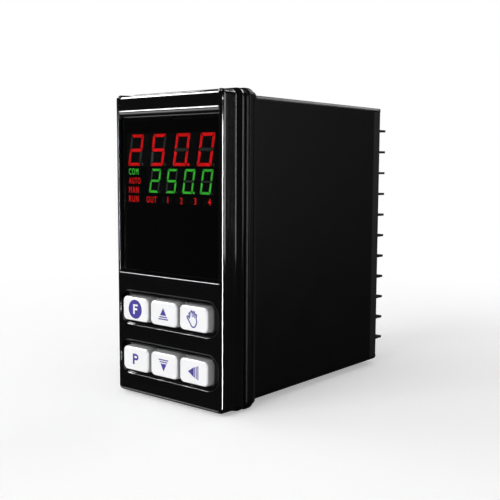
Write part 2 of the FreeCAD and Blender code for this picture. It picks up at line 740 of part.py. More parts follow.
def make_window_mask():
    """The black film behind the window, clear only over the digits and the status lamps."""
    depth = value(f"{FACE} + window_sink + window_thickness")
    thickness = value("mask_thickness")
    half_wide = value("window_width / 2 - window_ledge - 0.3")
    half_tall = value("window_height / 2 - window_ledge - 0.3")
    middle = value("window_centre")
    film = plate(-half_wide, half_wide, middle - half_tall, middle + half_tall, depth, thickness)
    rims = [(left - 0.3, right + 1.1, bottom - 0.3, top + 0.3) for _, left, right, bottom, top in digit_fields()]
    rims += [(left, right, bottom, top) for left, right, bottom, top in lamp_fields()]
    for left, right, bottom, top in rims:
        film = film.cut(plate(left, right, bottom, top, depth - 1, thickness + 2))
    return group("window_mask", [film])


def digit_segments(name, digit):
    """The seven segments of one digit, by letter, and its point, as solids at the block's face."""
    left = value(f"{name}_digit_left") + digit * value(f"{name}_digit_pitch")
    bottom, height = value(f"{name}_digit_bottom"), value(f"{name}_digit_height")
    width, stroke = value(f"{name}_digit_width"), value(f"{name}_digit_stroke")
    lean = math.tan(math.radians(value("digit_slant")))
    gap, half, middle = value("segment_gap"), stroke / 2, height / 2
    depth, face = value("segment_depth"), value(BLOCK_FRONT)

    def prism(points):
        corners = [Vector(left + x + z * lean, face, bottom + z) for x, z in points]
        outline = Part.makePolygon(corners + corners[:1])
        return Part.Face(outline).extrude(Vector(0, depth, 0))

    def level(z, edge):
        """A level bar whose ends are mitred. Edge is 1 at the top, -1 at the bottom and 0 in the middle."""
        near, far = gap, width - gap
        if edge:
            out, inner = z, z - edge * stroke
            return prism([(near, out), (far, out), (far - stroke, inner), (near + stroke, inner)])
        return prism([(near + half, z - half), (near, z), (near + half, z + half),
                      (far - half, z + half), (far, z), (far - half, z - half)])

    def upright(x, inward, z_low, z_high, mitre_top):
        """A standing bar, mitred fully at the digit's corner and by half at its waist."""
        inner, halfway = x + inward * stroke, x + inward * half
        if mitre_top:
            return prism([(x, z_low), (x, z_high - gap), (inner, z_high - stroke - gap),
                          (inner, z_low + half), (halfway, z_low + half)])
        return prism([(x, z_low + gap), (x, z_high), (halfway, z_high - half), (inner, z_high - half),
                      (inner, z_low + stroke + gap)])

    shapes = {
        "a": level(height, 1), "g": level(middle, 0), "d": level(0, -1),
        "f": upright(0, 1, middle + gap, height, True),
        "b": upright(width, -1, middle + gap, height, True),
        "e": upright(0, 1, 0, middle - gap, False),
        "c": upright(width, -1, 0, middle - gap, False),
    }
    centre = Vector(left + width + stroke * 0.85, face, bottom + half)
    shapes["point"] = Part.makeCylinder(half, depth, centre, Vector(0, 1, 0))
    return shapes


def make_digits():
    """Both display blocks with their segments, lit and dark ones apart."""
    nodes = []
    border, face = value("block_border"), value(BLOCK_FRONT)
    depth = value(BOARD_FRONT) - face
    seam = (value("upper_digit_bottom") + value("lower_digit_bottom + lower_digit_height")) / 2
    for (name, left, right, bottom, top), colour in zip(digit_fields(), ("red", "green")):
        lit, dark = [], []
        for digit, character in enumerate(READING):
            for letter, solid in digit_segments(name, digit).items():
                shown = digit == POINT_AFTER if letter == "point" else letter in SEGMENTS[character]
                (lit if shown else dark).append(solid)
        low = seam + value("block_gap") / 2 if name == "upper" else bottom - border / 2
        high = top + border if name == "upper" else seam - value("block_gap") / 2
        housing = plate(left - border / 4, right + border, low, high, face, depth)
        nodes.append(group(f"{name}_display_block", [housing.cut(Part.makeCompound(lit + dark))]))
        nodes.append(group(f"{colour}_segments_lit", lit))
        nodes.append(group(f"{colour}_segments_dark", dark))
    return nodes


def make_status_lamps():
    """The light box beside and below the lower digits, and the diffusers in it."""
    border, face = value("lamp_border"), value(BLOCK_FRONT)
    depth = value(BOARD_FRONT) - face
    fields = lamp_fields()
    diffusers = [plate(left, right, bottom, top, face, value("segment_depth"))
                 for left, right, bottom, top in fields]
    left, right = fields[0][0] - border, fields[-1][1] + border
    low, high = fields[-1][2] - border, fields[0][3] + border
    column = plate(left, fields[0][1] + border, low, high, face, depth)
    rest = plate(left, right, low, fields[-1][3] + border, face, depth)
    box_shape = column.fuse(rest).removeSplitter().cut(Part.makeCompound(diffusers))
    return [group("status_light_box", [box_shape]), group("status_diffusers", diffusers)]


def make_key(label, column, row):
    """One key: a tapered, rounded cap, a flange that stops it behind the cover, and a stem."""
    body = new_body(label)
    x, z = f"{column} * {KEY_PITCH}", f"key_row_upper - {row} * key_row_pitch"
    shoulder, stop = f"{FACE} + key_shoulder", f"{FACE} + front_wall + 0.1"
    root = rounded_rectangle(face_sketch(body, shoulder, x, z), "key_width", "key_height", "key_corner")
    grow(body, "Pad", root, f"front_wall + 0.1 - key_shoulder + key_flange")
    cap = rounded_rectangle(face_sketch(body, shoulder, x, z), "key_width", "key_height", "key_corner")
    crown = grow(body, "Pad", cap, "key_shoulder + key_proud", backwards=False)
    bind(crown, TaperAngle="-key_taper")
    doc.recompute()
    top = value(f"{FACE} - key_proud")
    dress(body, "Fillet", lambda e: lies_at(e, y=top), "key_round")
    block(body, "Additive", f"{x} - key_width / 2", stop, f"{z} - key_height / 2 - key_flange_reach",
          "key_width", "key_flange", "key_height + 2 * key_flange_reach")
    stem = f"{BOARD_FRONT} - switch_height - plunger_reach"
    block(body, "Additive", f"{x} - key_stem / 2", f"{stop} + key_flange - 0.2", f"{z} - key_stem / 2",
          "key_stem", f"({stem}) - ({stop} + key_flange) + 0.2", "key_stem")
    return body


def make_switches():
    """Under each key a switch on the display board, and the plunger that moves with the key."""
    nodes, bodies = [], []
    for label, column, row in KEY_NAMES:
        x, z = f"{column} * {KEY_PITCH}", f"key_row_upper - {row} * key_row_pitch"
        top = f"{BOARD_FRONT} - switch_height"
        plunger = rod(label.replace("key", "plunger"), x, f"{top} - plunger_reach", z, "plunger_diameter",
                      "plunger_reach + plunger_length - key_travel - 0.2", Vector(0, 1, 0))
        nodes.append(plunger)
        half = value("switch_side") / 2
        centre = Vector(value(x), value(top), value(z))
        height = value("switch_height")
        housing = Part.makeBox(2 * half, height, 2 * half, centre - Vector(half, 0, half))
        bore = Part.makeCylinder(value("plunger_diameter") / 2 + 0.1, value("plunger_length"), centre,
                                 Vector(0, 1, 0))
        bodies.append(housing.cut(bore))
    nodes.append(group("key_switches", bodies))
    return nodes


def make_display_board():
    """The board behind the display, with its four fixing holes."""
    body = new_body("display_board")
    outline = rounded_rectangle(face_sketch(body, BOARD_FRONT), f"{MOUTH_WIDTH} - 2 * board_inset",
                                f"{MOUTH_HEIGHT} - 2 * board_inset", "1")
    grow(body, "Pad", outline, "board_thickness")
    for across, height in BOSSES:
        disc(body, "Pocket", across, "-skirt_reach - 1", height, "board_screw + 0.2", "board_thickness + 2")
    return body


def make_board_screws():
    """Four pan-head screws that hold the display board to the cover's bosses."""
    solids = []
    head, depth, length = value("board_screw_head"), value(BOARD_REAR), value("board_screw_length")
    for across, height in BOSSES:
        spot = Vector(value(across), depth, value(height))
        shank = Part.makeCylinder(value("board_screw") / 2, length, spot, Vector(0, -1, 0))
        pan = Part.makeCylinder(head / 2, head * 0.35, spot, Vector(0, 1, 0))
        slot = Part.makeBox(head + 1, head, 0.5, spot + Vector(-head / 2 - 0.5, head * 0.15, -0.25))
        solids.append(shank.fuse(pan).removeSplitter().cut(slot))
    return group("board_screws", solids)


def make_side_board(label, side):
    """A long board in the case's guides, from the display board back to the terminals."""
    x = BOARD_INNER if side > 0 else f"-{BOARD_INNER} - board_thickness"
    height = f"({MOUTH_HEIGHT} - 2 * side_board_clearance)"
    return box(label, x, BOARD_REAR, f"-{height} / 2", "board_thickness", SIDE_BOARD_LENGTH, height)


def make_sockets():
    """A grooved socket on each long board, which takes the terminal blades."""
    x = f"{BOARD_INNER} - socket_width"
    start = "case_length - board_rear_gap - socket_length"
    housing = box("socket_housing", x, start, f"-{SOCKET_HEIGHT} / 2", "socket_width", "socket_length",
                  SOCKET_HEIGHT)
    groove = box("socket_groove", f"{BLADE} + tab_thickness / 2 - socket_slot / 2", f"{start} + socket_floor",
                 f"-{SOCKET_HEIGHT} / 2 - 1", "socket_slot", "socket_length", f"{SOCKET_HEIGHT} + 2")
    right = combine("Cut", "terminal_socket_right", housing, groove)
    return [right, mirrored_copy("terminal_socket_left", right)]


def make_headers():
    """The pin headers that join the display board to the long boards."""
    side, tall, across = value("header_side"), value("header_height"), value(BOARD_INNER)
    solids = [plate(min(s * across, s * (across - side)), max(s * across, s * (across - side)),
                    -tall / 2 + 4, tall / 2 + 4, value(BOARD_REAR), side) for s in (-1, 1)]
    return group("board_headers", solids)


def make_transformer():
    """The mains transformer on the left board: the coil stands on the board and its core passes through it."""
    base = f"-{BOARD_INNER}"
    core = new_body("transformer_core")
    block(core, "Additive", f"{base} + coil_overhang", "core_start", "core_bottom", "core_depth", "core_length",
          "core_height")
    window = "(core_length - 2 * core_limb) / 2"
    for start in ("core_start + core_limb / 2", "core_start + core_length / 2 + core_limb / 2"):
        block(core, "Subtractive", f"{base} + coil_overhang - 1", start, "core_bottom + core_limb / 2",
              "core_depth + 2", window, "core_height - core_limb")
    coil = new_body("transformer_coil")
    block(coil, "Additive", base, "core_start + core_limb / 2 + coil_clearance",
          "core_bottom + core_limb / 2 + coil_clearance", "core_depth + 2 * coil_overhang",
          "core_length - core_limb - 2 * coil_clearance", "core_height - core_limb - 2 * coil_clearance")
    block(coil, "Subtractive", f"{base} + coil_overhang - coil_clearance",
          "core_start + core_length / 2 - core_limb / 2 - coil_clearance", "core_bottom - 1",
          "core_depth + 2 * coil_clearance", "core_limb + 2 * coil_clearance", "core_height + 2")
    return [core, coil]


def make_relays():
    """The output and alarm relays in a column on the right board."""
    x_far = value(BOARD_INNER)
    deep, long, tall = value("relay_depth"), value("relay_length"), value("relay_height")
    solids = []
    for place_number in range(round(value("relay_count"))):
        low = value("relay_bottom") + place_number * value("relay_pitch")
        relay = plate(x_far - deep, x_far, low, low + tall, value("relay_start"), long)
        solids.append(relay.makeChamfer(0.6, [e for e in relay.Edges if lies_at(e, x=x_far - deep)]))
    return group("relays", solids)


def make_processor():
    """The processor on the right board."""
    return box("processor_chip", f"{BOARD_INNER} - chip_depth", "chip_start", "chip_bottom", "chip_depth",
               "chip_side", "chip_side")


def make_capacitors():
    """Two smoothing capacitors standing on the left board."""
    solids = []
    depth, height = value("capacitor_start"), value("capacitor_bottom")
    for share in (1.0, value("capacitor_ratio")):
        radius = value("capacitor_diameter") / 2 * share
        spot = Vector(-value(BOARD_INNER), depth, height)
        can = Part.makeCylinder(radius, value("capacitor_length") * share, spot, Vector(1, 0, 0))
        top = value("capacitor_length") * share - value(BOARD_INNER)
        solids.append(can.makeChamfer(0.5, [e for e in can.Edges if lies_at(e, x=top)]))
        depth += radius * 2 + 3
    return group("capacitors", solids)


# ---- build, check and write ------------------------------------------------------------------------

def build():
    """Makes every piece and returns the nodes in the order that they are written."""
    nodes = [make_rear_case(), make_panel_gasket()]
    strip = make_barrier_strip()
    nodes += [strip, mirrored_copy("barrier_strip_left", strip)]
    nodes += make_terminal_columns()
    nodes += [make_front_bezel(), make_front_seal(), make_display_window(), make_window_mask()]
    nodes += make_digits()
    nodes += make_status_lamps()
    nodes += [make_key(*name) for name in KEY_NAMES]
    nodes += make_switches()
    nodes += [make_display_board(), make_board_screws()]
    nodes += [make_side_board("power_board", -1), make_side_board("control_board", 1)]
    nodes += make_sockets()
    nodes += [make_headers(), *make_transformer(), make_relays(), make_processor(), make_capacitors()]
    return nodes


def main():
    nodes = build()
    doc.recompute()
    failed = [o.Label for o in doc.Objects if "Invalid" in o.State or "Error" in o.State]
    if failed:
        raise RuntimeError(f"these objects failed: {failed}")
    os.makedirs("parts", exist_ok=True)
    for node in nodes:
        if node.Shape.isNull() or not node.Shape.isValid() or not node.Shape.Solids:
            raise RuntimeError(f"{node.Label} has no valid solid")
    for node in nodes:
        node.Shape.exportStep(f"parts/{node.Label}.step")
        print(node.Label, len(node.Shape.Solids), round(node.Shape.Volume, 1))


main()
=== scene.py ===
"""Looks of a panel-mounted temperature controller, built round its packed frame: moulded and printed
finishes, key legends, status words, screws, small parts on the circuit boards, and a studio stage."""

import math

import bpy
from mathutils import Matrix, Vector


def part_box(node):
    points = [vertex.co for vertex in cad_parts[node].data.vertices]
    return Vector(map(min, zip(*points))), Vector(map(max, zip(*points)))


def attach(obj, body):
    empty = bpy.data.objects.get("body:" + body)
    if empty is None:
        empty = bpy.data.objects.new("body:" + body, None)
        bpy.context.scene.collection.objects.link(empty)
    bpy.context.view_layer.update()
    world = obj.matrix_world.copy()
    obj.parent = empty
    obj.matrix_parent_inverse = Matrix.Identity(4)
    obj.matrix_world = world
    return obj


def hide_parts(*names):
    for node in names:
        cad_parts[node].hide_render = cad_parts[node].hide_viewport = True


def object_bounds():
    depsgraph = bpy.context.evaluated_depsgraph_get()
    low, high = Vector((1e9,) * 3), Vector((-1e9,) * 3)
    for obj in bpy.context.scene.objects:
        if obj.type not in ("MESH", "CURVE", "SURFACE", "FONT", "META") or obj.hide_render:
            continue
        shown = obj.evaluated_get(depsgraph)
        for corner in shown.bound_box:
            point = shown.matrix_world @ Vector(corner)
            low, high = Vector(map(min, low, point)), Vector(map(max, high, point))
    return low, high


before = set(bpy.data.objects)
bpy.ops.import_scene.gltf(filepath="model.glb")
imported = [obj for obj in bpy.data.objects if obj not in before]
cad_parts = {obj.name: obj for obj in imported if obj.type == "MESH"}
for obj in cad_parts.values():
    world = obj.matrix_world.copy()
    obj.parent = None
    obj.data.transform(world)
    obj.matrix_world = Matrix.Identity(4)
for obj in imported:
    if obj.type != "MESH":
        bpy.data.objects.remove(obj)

bl_info = {
    "name": "Panel Temperature Controller",
    "version": (1, 0, 0),
    "blender": (4, 5, 0),
    "location": "3D View > Sidebar > Controller",
    "description": "Finishes, printed marks and small parts of a panel temperature controller",
    "category": "Object",
}

MM = 0.001
UNIT = "plug_in_unit"
CAD_BOX = [list(corner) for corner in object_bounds()]
KEYS = ("function", "up", "manual", "program", "down", "shift")


def shade(red, green, blue):
    """A colour given as screen values from 0 to 255, as the light values that Blender wants."""
    values = [v / 255 for v in (red, green, blue)]
    return tuple(v / 12.92 if v <= 0.04045 else ((v + 0.055) / 1.055) ** 2.4 for v in values)


def colour_setting(name, description, default):
    """A colour, shown as a swatch."""
    return bpy.props.FloatVectorProperty(name=name, description=description, default=default, size=3,
                                         min=0.0, max=1.0, subtype="COLOR")


def length_setting(name, description, default):
    """A length, shown in the scene's unit."""
    return bpy.props.FloatProperty(name=name, description=description, default=default, min=0.0,
                                   subtype="DISTANCE", unit="LENGTH", precision=5)


def plain_setting(name, description, default, low=0.0):
    """A plain number with a lower limit."""
    return bpy.props.FloatProperty(name=name, description=description, default=default, min=low)


def count_setting(name, description, default, low=0):
    """A whole number with a lower limit."""
    return bpy.props.IntProperty(name=name, description=description, default=default, min=low)


# ---- settings --------------------------------------------------------------------------------------

class ControllerFinish(bpy.types.PropertyGroup):
    """Colours of the mouldings, metals and lights."""

    cover: colour_setting("Cover", "Polished front cover", (0.0022, 0.0022, 0.0026))
    case: colour_setting("Case", "Satin rear case", (0.0009, 0.0009, 0.0011))
    strip: colour_setting("Terminal strips", "Moulded strips on the rear", (0.009, 0.009, 0.010))
    rubber: colour_setting("Rubber", "Gasket and front seal", (0.004, 0.004, 0.004))
    smoke: colour_setting("Window", "Tint of the smoked window", (0.50, 0.50, 0.52))
    film: colour_setting("Mask", "Film behind the window", (0.0012, 0.0012, 0.0013))
    housing: colour_setting("Display housing", "Face of the digit blocks", (0.0016, 0.0017, 0.0017))
    dark: colour_setting("Unlit segment", "Diffuser with no light behind it", shade(74, 84, 76))
    red: colour_setting("Red light", "Upper digits and most status words", shade(236, 20, 22))
    green: colour_setting("Green light", "Lower digits and one status word", shade(70, 215, 62))
    key: colour_setting("Keys", "White key caps", (0.90, 0.90, 0.91))
    legend: colour_setting("Legends", "Print on the keys", shade(58, 46, 150))
    board: colour_setting("Board", "Solder mask on the circuit boards", (0.012, 0.115, 0.045))
    copper: colour_setting("Tracks", "Tracks under the solder mask", (0.05, 0.26, 0.09))
    zinc: colour_setting("Zinc", "Plated screws and clamps", (0.62, 0.63, 0.65))
    brass: colour_setting("Tinned brass", "Terminal tabs", (0.72, 0.67, 0.52))


class ControllerLegends(bpy.types.PropertyGroup):
    """Sizes of the print on the keys and of the status words."""

    ink: length_setting("Ink", "Thickness of the print above its surface", 0.012 * MM)
    disc: length_setting("Disc", "Width of the filled disc behind the first letter", 6.0 * MM)
    letter: length_setting("Letter", "Height of the letters on the keys", 3.4 * MM)
    arrow: length_setting("Arrow", "Width of the arrows on the keys", 4.2 * MM)
    bar: length_setting("Bar", "Thickness of the bars beside the arrows", 0.36 * MM)
    hand: length_setting("Hand", "Height of the open hand", 5.5 * MM)
    word: length_setting("Word", "Height of the status words", 1.95 * MM)
    glow: plain_setting("Glow", "Strength of the lit segments", 0.85)
    word_glow: plain_setting("Word glow", "Strength of the lit status words", 1.5)


class ControllerCover(bpy.types.PropertyGroup):
    """Fine shape of the polished cover."""

    edge: length_setting("Edge", "Radius of its fine edges", 0.5 * MM)
    waves: length_setting("Waves", "Height of the faint waves down its sides", 0.03 * MM)
    slope_top: length_setting("Slope top", "Height of the upper edge of the slope over the window", 42.1 * MM)
    hollow: plain_setting("Hollow", "How much the slope flattens towards the window, per millimetre", 0.24)


class ControllerTerminals(bpy.types.PropertyGroup):
    """Sizes of the screws."""

    poles: count_setting("Poles", "Terminals in each column", 12, 1)
    pitch: length_setting("Pitch", "Distance between terminals", 7.62 * MM)
    head: length_setting("Head", "Width of a terminal screw's head", 5.3 * MM)
    slot: length_setting("Slot", "Width of the slot in a screw's head", 0.9 * MM)
    dome: plain_setting("Dome", "How far the head's rim drops, as a share of its height", 0.45)
    board_head: length_setting("Board screw head", "Width of a board screw's head", 4.0 * MM)


class ControllerBoards(bpy.types.PropertyGroup):
    """Sizes and numbers of the small parts on the circuit boards."""

    chip_length: length_setting("Chip length", "Length of a chip resistor", 2.0 * MM)
    chip_width: length_setting("Chip width", "Width of a chip resistor", 1.25 * MM)
    chip_height: length_setting("Chip height", "Height of a chip resistor", 0.55 * MM)
    share: plain_setting("Share", "Share of the places that hold a part", 0.62)
    seed: count_setting("Seed", "Choice of the places that hold a part", 7)
    joint: length_setting("Solder joint", "Width of a solder joint", 1.7 * MM)


class ControllerStage(bpy.types.PropertyGroup):
    """Camera, lamps and floor."""

    lens: plain_setting("Lens", "Focal length in millimetres", 58.892, 1.0)
    azimuth: plain_setting("Azimuth", "Camera's turn from the front, in degrees", 39.581, -180.0)
    dip: plain_setting("Dip", "How far the camera looks down, in degrees", 5.917, -90.0)
    roll: plain_setting("Roll", "Turn of the camera about its own axis, in degrees", 0.268, -90.0)
    place: bpy.props.FloatVectorProperty(name="Place", description="Where the camera stands", size=3,
                                         default=(0.176759, -0.188574, 0.025543), subtype="XYZ",
                                         unit="LENGTH")
    floor: colour_setting("Floor", "Colour of the floor", (0.86, 0.86, 0.86))
    ambient: plain_setting("Ambient", "Light from all round", 0.28)
    mirrored: plain_setting("Mirrored", "How bright the surround looks in polished surfaces", 0.04)
    glow: plain_setting("Table glow", "How bright the table looks in the slope above the window", 4.0)


# ---- nodes -----------------------------------------------------------------------------------------

GROUPS = {}
SOCKET_KINDS = {float: "Float", int: "Int", bool: "Bool", tuple: "Color"}
SURFACE = {"Colour": "Color", "Roughness": "Float", "Height": "Float"}


class Nodes:
    """Adds, sets and joins the nodes of one tree."""

    def __init__(self, tree):
        self.tree = tree

    def add(self, kind, inputs=None, **settings):
        """A new node with its settings and inputs."""
        node = self.tree.nodes.new(kind)
        for name, value in settings.items():
            setattr(node, name, value)
        self.feed(node, inputs or {})
        return node

    def feed(self, node, inputs):
        """Links an input that is given a socket, and sets any other value on it. A colour is made opaque."""
        for name, value in inputs.items():
            socket = node.inputs[name]
            if isinstance(value, bpy.types.NodeSocket):
                self.tree.links.new(value, socket)
            else:
                socket.default_value = (*value[:3], 1.0) if socket.type == "RGBA" else value

    def calc(self, operation, *values, clamp=False):
        """The result of a Math node on one to three values or sockets."""
        return self.add("ShaderNodeMath", dict(enumerate(values)), operation=operation,
                        use_clamp=clamp).outputs[0]

    def times(self, first, second):
        """The product of two values."""
        return self.calc("MULTIPLY", first, second)

    def noise(self, place, scale, detail=2.0, roughness=0.5):
        """A cloudy value from 0 to 1."""
        return self.add("ShaderNodeTexNoise", {"Vector": place, "Scale": scale, "Detail": detail,
                                               "Roughness": roughness}).outputs["Fac"]

    def ramp(self, value, low, high, top=1.0, way="LINEAR"):
        """How far a value has come from low to high, up to a top."""
        return self.add("ShaderNodeMapRange", {"Value": value, "From Min": low, "From Max": high,
                                               "To Max": top}, interpolation_type=way).outputs[0]

    def split(self, vector):
        """The three parts of a vector."""
        return self.add("ShaderNodeSeparateXYZ", {"Vector": vector}).outputs

    def vector(self, **parts):
        """A vector from its X, Y and Z, which are 0 where they aren't given."""
        return self.add("ShaderNodeCombineXYZ", parts).outputs[0]

    def stretch(self, place, *scale):
        """A place with its axes scaled, for a pattern that is drawn out along one of them."""
        return self.add("ShaderNodeMapping", {"Vector": place, "Scale": scale}).outputs[0]

    def grey(self, level):
        """A grey as light as a value."""
        return self.add("ShaderNodeCombineColor", {"Red": level, "Green": level, "Blue": level}).outputs[0]

    def blend(self, share, first, second, way="MIX"):
        """A mix of two colours."""
        return self.add("ShaderNodeMix", {0: share, 6: first, 7: second}, data_type="RGBA",
                        blend_type=way).outputs[2]

    def bump(self, height, strength, distance, **more):
        """A normal that follows a height."""
        return self.add("ShaderNodeBump", {"Height": height, "Strength": strength, "Distance": distance,
                                           **more}).outputs[0]

    def facing(self, which="Normal"):
        """The X, Y and Z of the way that a surface faces."""
        return self.split(self.add("ShaderNodeNewGeometry").outputs[which])

    def group(self, maker, inputs):
        """The outputs of a shared group, which is built the first time that it is used."""
        if maker not in GROUPS:
            GROUPS[maker] = maker()
        return self.add("ShaderNodeGroup", inputs, node_tree=GROUPS[maker]).outputs


def node_group(kind, name, inputs, outputs):
    """An empty Shader or Geometry group, given the default of each input or the name of its kind."""
    tree = bpy.data.node_groups.new(name, f"{kind}NodeTree")
    for label, value in inputs.items():
        known = value if isinstance(value, str) else SOCKET_KINDS[type(value)]
        socket = tree.interface.new_socket(label, in_out="INPUT", socket_type=f"NodeSocket{known}")
        if known != value:
            socket.default_value = (*value, 1.0) if known == "Color" else value
    for label, known in outputs.items():
        tree.interface.new_socket(label, in_out="OUTPUT", socket_type=f"NodeSocket{known}")
    n = Nodes(tree)
    return n, n.add("NodeGroupInput").outputs, n.add("NodeGroupOutput")


def moulded_group():
    """Grain, slight mottle and uneven gloss of a moulded surface."""
    n, given, out = node_group("Shader", "Moulded Surface", {
        "Vector": "Vector", "Colour": (0.5, 0.5, 0.5), "Mottle": 0.1, "Roughness": 0.4, "Unevenness": 0.1,
        "Grain Size": 0.0004, "Grain Height": 0.5}, SURFACE)
    grain = n.noise(given["Vector"], n.calc("DIVIDE", 1.0, given["Grain Size"]), 3.0, 0.6)
    broad = n.calc("SUBTRACT", n.noise(given["Vector"], 90.0, 4.0, 0.55), 0.5)
    lift = n.calc("MULTIPLY_ADD", broad, given["Mottle"], 1.0)
    n.feed(out, {
        "Colour": n.blend(1.0, given["Colour"], n.grey(lift), "MULTIPLY"),
        "Roughness": n.calc("MULTIPLY_ADD", broad, given["Unevenness"], given["Roughness"], clamp=True),
        "Height": n.times(grain, given["Grain Height"]),
    })
    return n.tree


def marks_group():
    """Hairline scratches and specks of dust, as a mask."""
    n, given, out = node_group("Shader", "Handling Marks", {
        "Vector": "Vector", "Amount": 0.3, "Turn": 0.6}, {"Mask": "Float"})
    where = given["Vector"]
    spun = n.add("ShaderNodeVectorRotate", {"Vector": where, "Angle": given["Turn"]},
                 rotation_type="Y_AXIS").outputs[0]
    lines = n.ramp(n.noise(n.stretch(spun, 2600.0, 2600.0, 60.0), 1.0), 0.66, 0.74)
    worn = n.ramp(n.noise(where, 70.0), 0.45, 0.7)
    cells = n.add("ShaderNodeTexVoronoi", {"Vector": where, "Scale": 420.0}).outputs["Distance"]
    both = n.calc("MAXIMUM", n.times(lines, worn), n.ramp(cells, 0.09, 0.03))
    n.feed(out, {"Mask": n.calc("MULTIPLY", both, given["Amount"], clamp=True)})
    return n.tree


def metal_group():
    """Uneven plating with drawn lines, for screws, clamps and stampings."""
    n, given, out = node_group("Shader", "Plated Metal", {
        "Vector": "Vector", "Colour": (0.6, 0.6, 0.6), "Stain": (0.4, 0.38, 0.33), "Roughness": 0.3}, SURFACE)
    share = n.ramp(n.noise(given["Vector"], 500.0, 4.0), 0.45, 0.75)
    lines = n.noise(n.stretch(given["Vector"], 9000.0, 1200.0, 9000.0), 1.0)
    n.feed(out, {
        "Colour": n.blend(share, given["Colour"], given["Stain"]),
        "Roughness": n.calc("MULTIPLY_ADD", lines, 0.22, given["Roughness"], clamp=True),
        "Height": lines,
    })
    return n.tree


def board_group():
    """Solder mask over tracks and the edges of wider copper fields."""
    n, given, out = node_group("Shader", "Circuit Board", {
        "Vector": "Vector", "Mask Colour": (0.0, 0.1, 0.04), "Track Colour": (0.05, 0.25, 0.1),
        "Pitch": 0.0025}, SURFACE)
    where, scale = given["Vector"], n.calc("DIVIDE", 1.0, given["Pitch"])
    edges = n.add("ShaderNodeTexVoronoi", {"Vector": where, "Scale": n.times(scale, 0.45)},
                  feature="DISTANCE_TO_EDGE").outputs["Distance"]
    near = n.add("ShaderNodeTexVoronoi", {"Vector": where, "Scale": n.times(scale, 0.55)},
                 distance="CHEBYCHEV").outputs["Distance"]
    tracks = n.ramp(n.calc("FRACT", n.times(near, 5.0)), 0.55, 0.62)
    pattern = n.calc("MAXIMUM", tracks, n.times(n.ramp(edges, 0.05, 0.03), 0.6))
    n.feed(out, {
        "Colour": n.blend(pattern, given["Mask Colour"], given["Track Colour"]),
        "Roughness": n.calc("MULTIPLY_ADD", n.noise(where, 900.0), 0.2, 0.22),
        "Height": pattern,
    })
    return n.tree


def glow_group():
    """Light through a diffuser: brighter at the lamps behind it, duller between them."""
    n, given, out = node_group("Shader", "Lit Diffuser", {
        "Vector": "Vector", "Colour": (1.0, 0.0, 0.0), "Spread": 0.35}, {"Colour": "Color"})
    share = n.ramp(n.noise(given["Vector"], 420.0), 0.3, 0.7)
    dull = n.calc("SUBTRACT", 1.0, given["Spread"])
    level = n.calc("MULTIPLY_ADD", share, given["Spread"], dull)
    n.feed(out, {"Colour": n.blend(1.0, given["Colour"], n.grey(level), "MULTIPLY")})
    return n.tree


def stripes_group():
    """Even stripes along one axis, such as stacked sheets or wound tape."""
    n, given, out = node_group("Shader", "Stripes", {
        "Along": 0.0, "Pitch": 0.0005, "Light": (0.3, 0.3, 0.3), "Dark": (0.05, 0.05, 0.05), "Share": 0.75,
    }, {"Colour": "Color", "Height": "Float"})
    turn = n.calc("FRACT", n.calc("DIVIDE", given["Along"], given["Pitch"]))
    sheet = n.calc("LESS_THAN", turn, given["Share"])
    n.feed(out, {"Colour": n.blend(sheet, given["Dark"], given["Light"]), "Height": sheet})
    return n.tree


# ---- materials -------------------------------------------------------------------------------------

def new_material(name, constants=None):
    """A material with a Principled shader, its constants set on the shader itself, and Object coordinates."""
    material = bpy.data.materials.new(name)
    material.use_nodes = True
    material.node_tree.nodes.clear()
    n = Nodes(material.node_tree)
    shader = n.add("ShaderNodeBsdfPrincipled", constants)
    out = n.add("ShaderNodeOutputMaterial", {"Surface": shader.outputs[0]})
    return material, n, shader, n.add("ShaderNodeTexCoord").outputs["Object"], out


def moulded(name, colour, roughness, grain_size, grain_height, mottle=0.3, unevenness=0.12, marks=0.0,
            shine=0.5, flank_shade=0.0):
    """A moulded plastic or rubber, with hairline marks where it is polished and, if asked, painted shade on the
    sides that don't face the front.
    """
    material, n, shader, where, _ = new_material(name, {"Specular IOR Level": shine})
    surface = n.group(moulded_group, {
        "Vector": where, "Colour": colour, "Mottle": mottle, "Roughness": roughness,
        "Unevenness": unevenness, "Grain Size": grain_size, "Grain Height": 1.0,
    })
    tint, rough = surface["Colour"], surface["Roughness"]
    if flank_shade:
        # Painted shade: the sides that don't face the front are darkened in their colour, standing in for the
        # shade between the keys.
        painted_flank_shade = n.ramp(n.facing()[1], -0.8, -0.3, flank_shade)
        tint = n.blend(painted_flank_shade, tint, [c * 0.3 for c in colour])
    if marks:
        mask = n.group(marks_group, {"Vector": where, "Amount": marks})["Mask"]
        rough = n.calc("ADD", rough, mask, clamp=True)
    n.feed(shader, {"Base Color": tint, "Roughness": rough,
                    "Normal": n.bump(surface["Height"], 0.5, grain_height)})
    return material


def from_group(name, maker, inputs, strength, distance, constants=None):
    """A material whose colour, roughness and relief all come from one shared group."""
    material, n, shader, where, _ = new_material(name, constants)
    surface = n.group(maker, {"Vector": where, **inputs})
    n.feed(shader, {"Base Color": surface["Colour"], "Roughness": surface["Roughness"],
                    "Normal": n.bump(surface["Height"], strength, distance)})
    return material


def plated(name, colour, stain, roughness):
    """A plated or tinned metal."""
    return from_group(name, metal_group, {"Colour": colour, "Stain": stain, "Roughness": roughness},
                      0.25, 0.00002, {"Metallic": 1.0})


def lit(name, colour, strength, spread=0.3):
    """A diffuser with light behind it."""
    material, n, shader, where, _ = new_material(name, {
        "Roughness": 0.5, "Specular IOR Level": 0.0, "Emission Strength": strength})
    glow = n.group(glow_group, {"Vector": where, "Colour": colour, "Spread": spread})["Colour"]
    n.feed(shader, {"Base Color": glow, "Emission Color": glow})
    return material


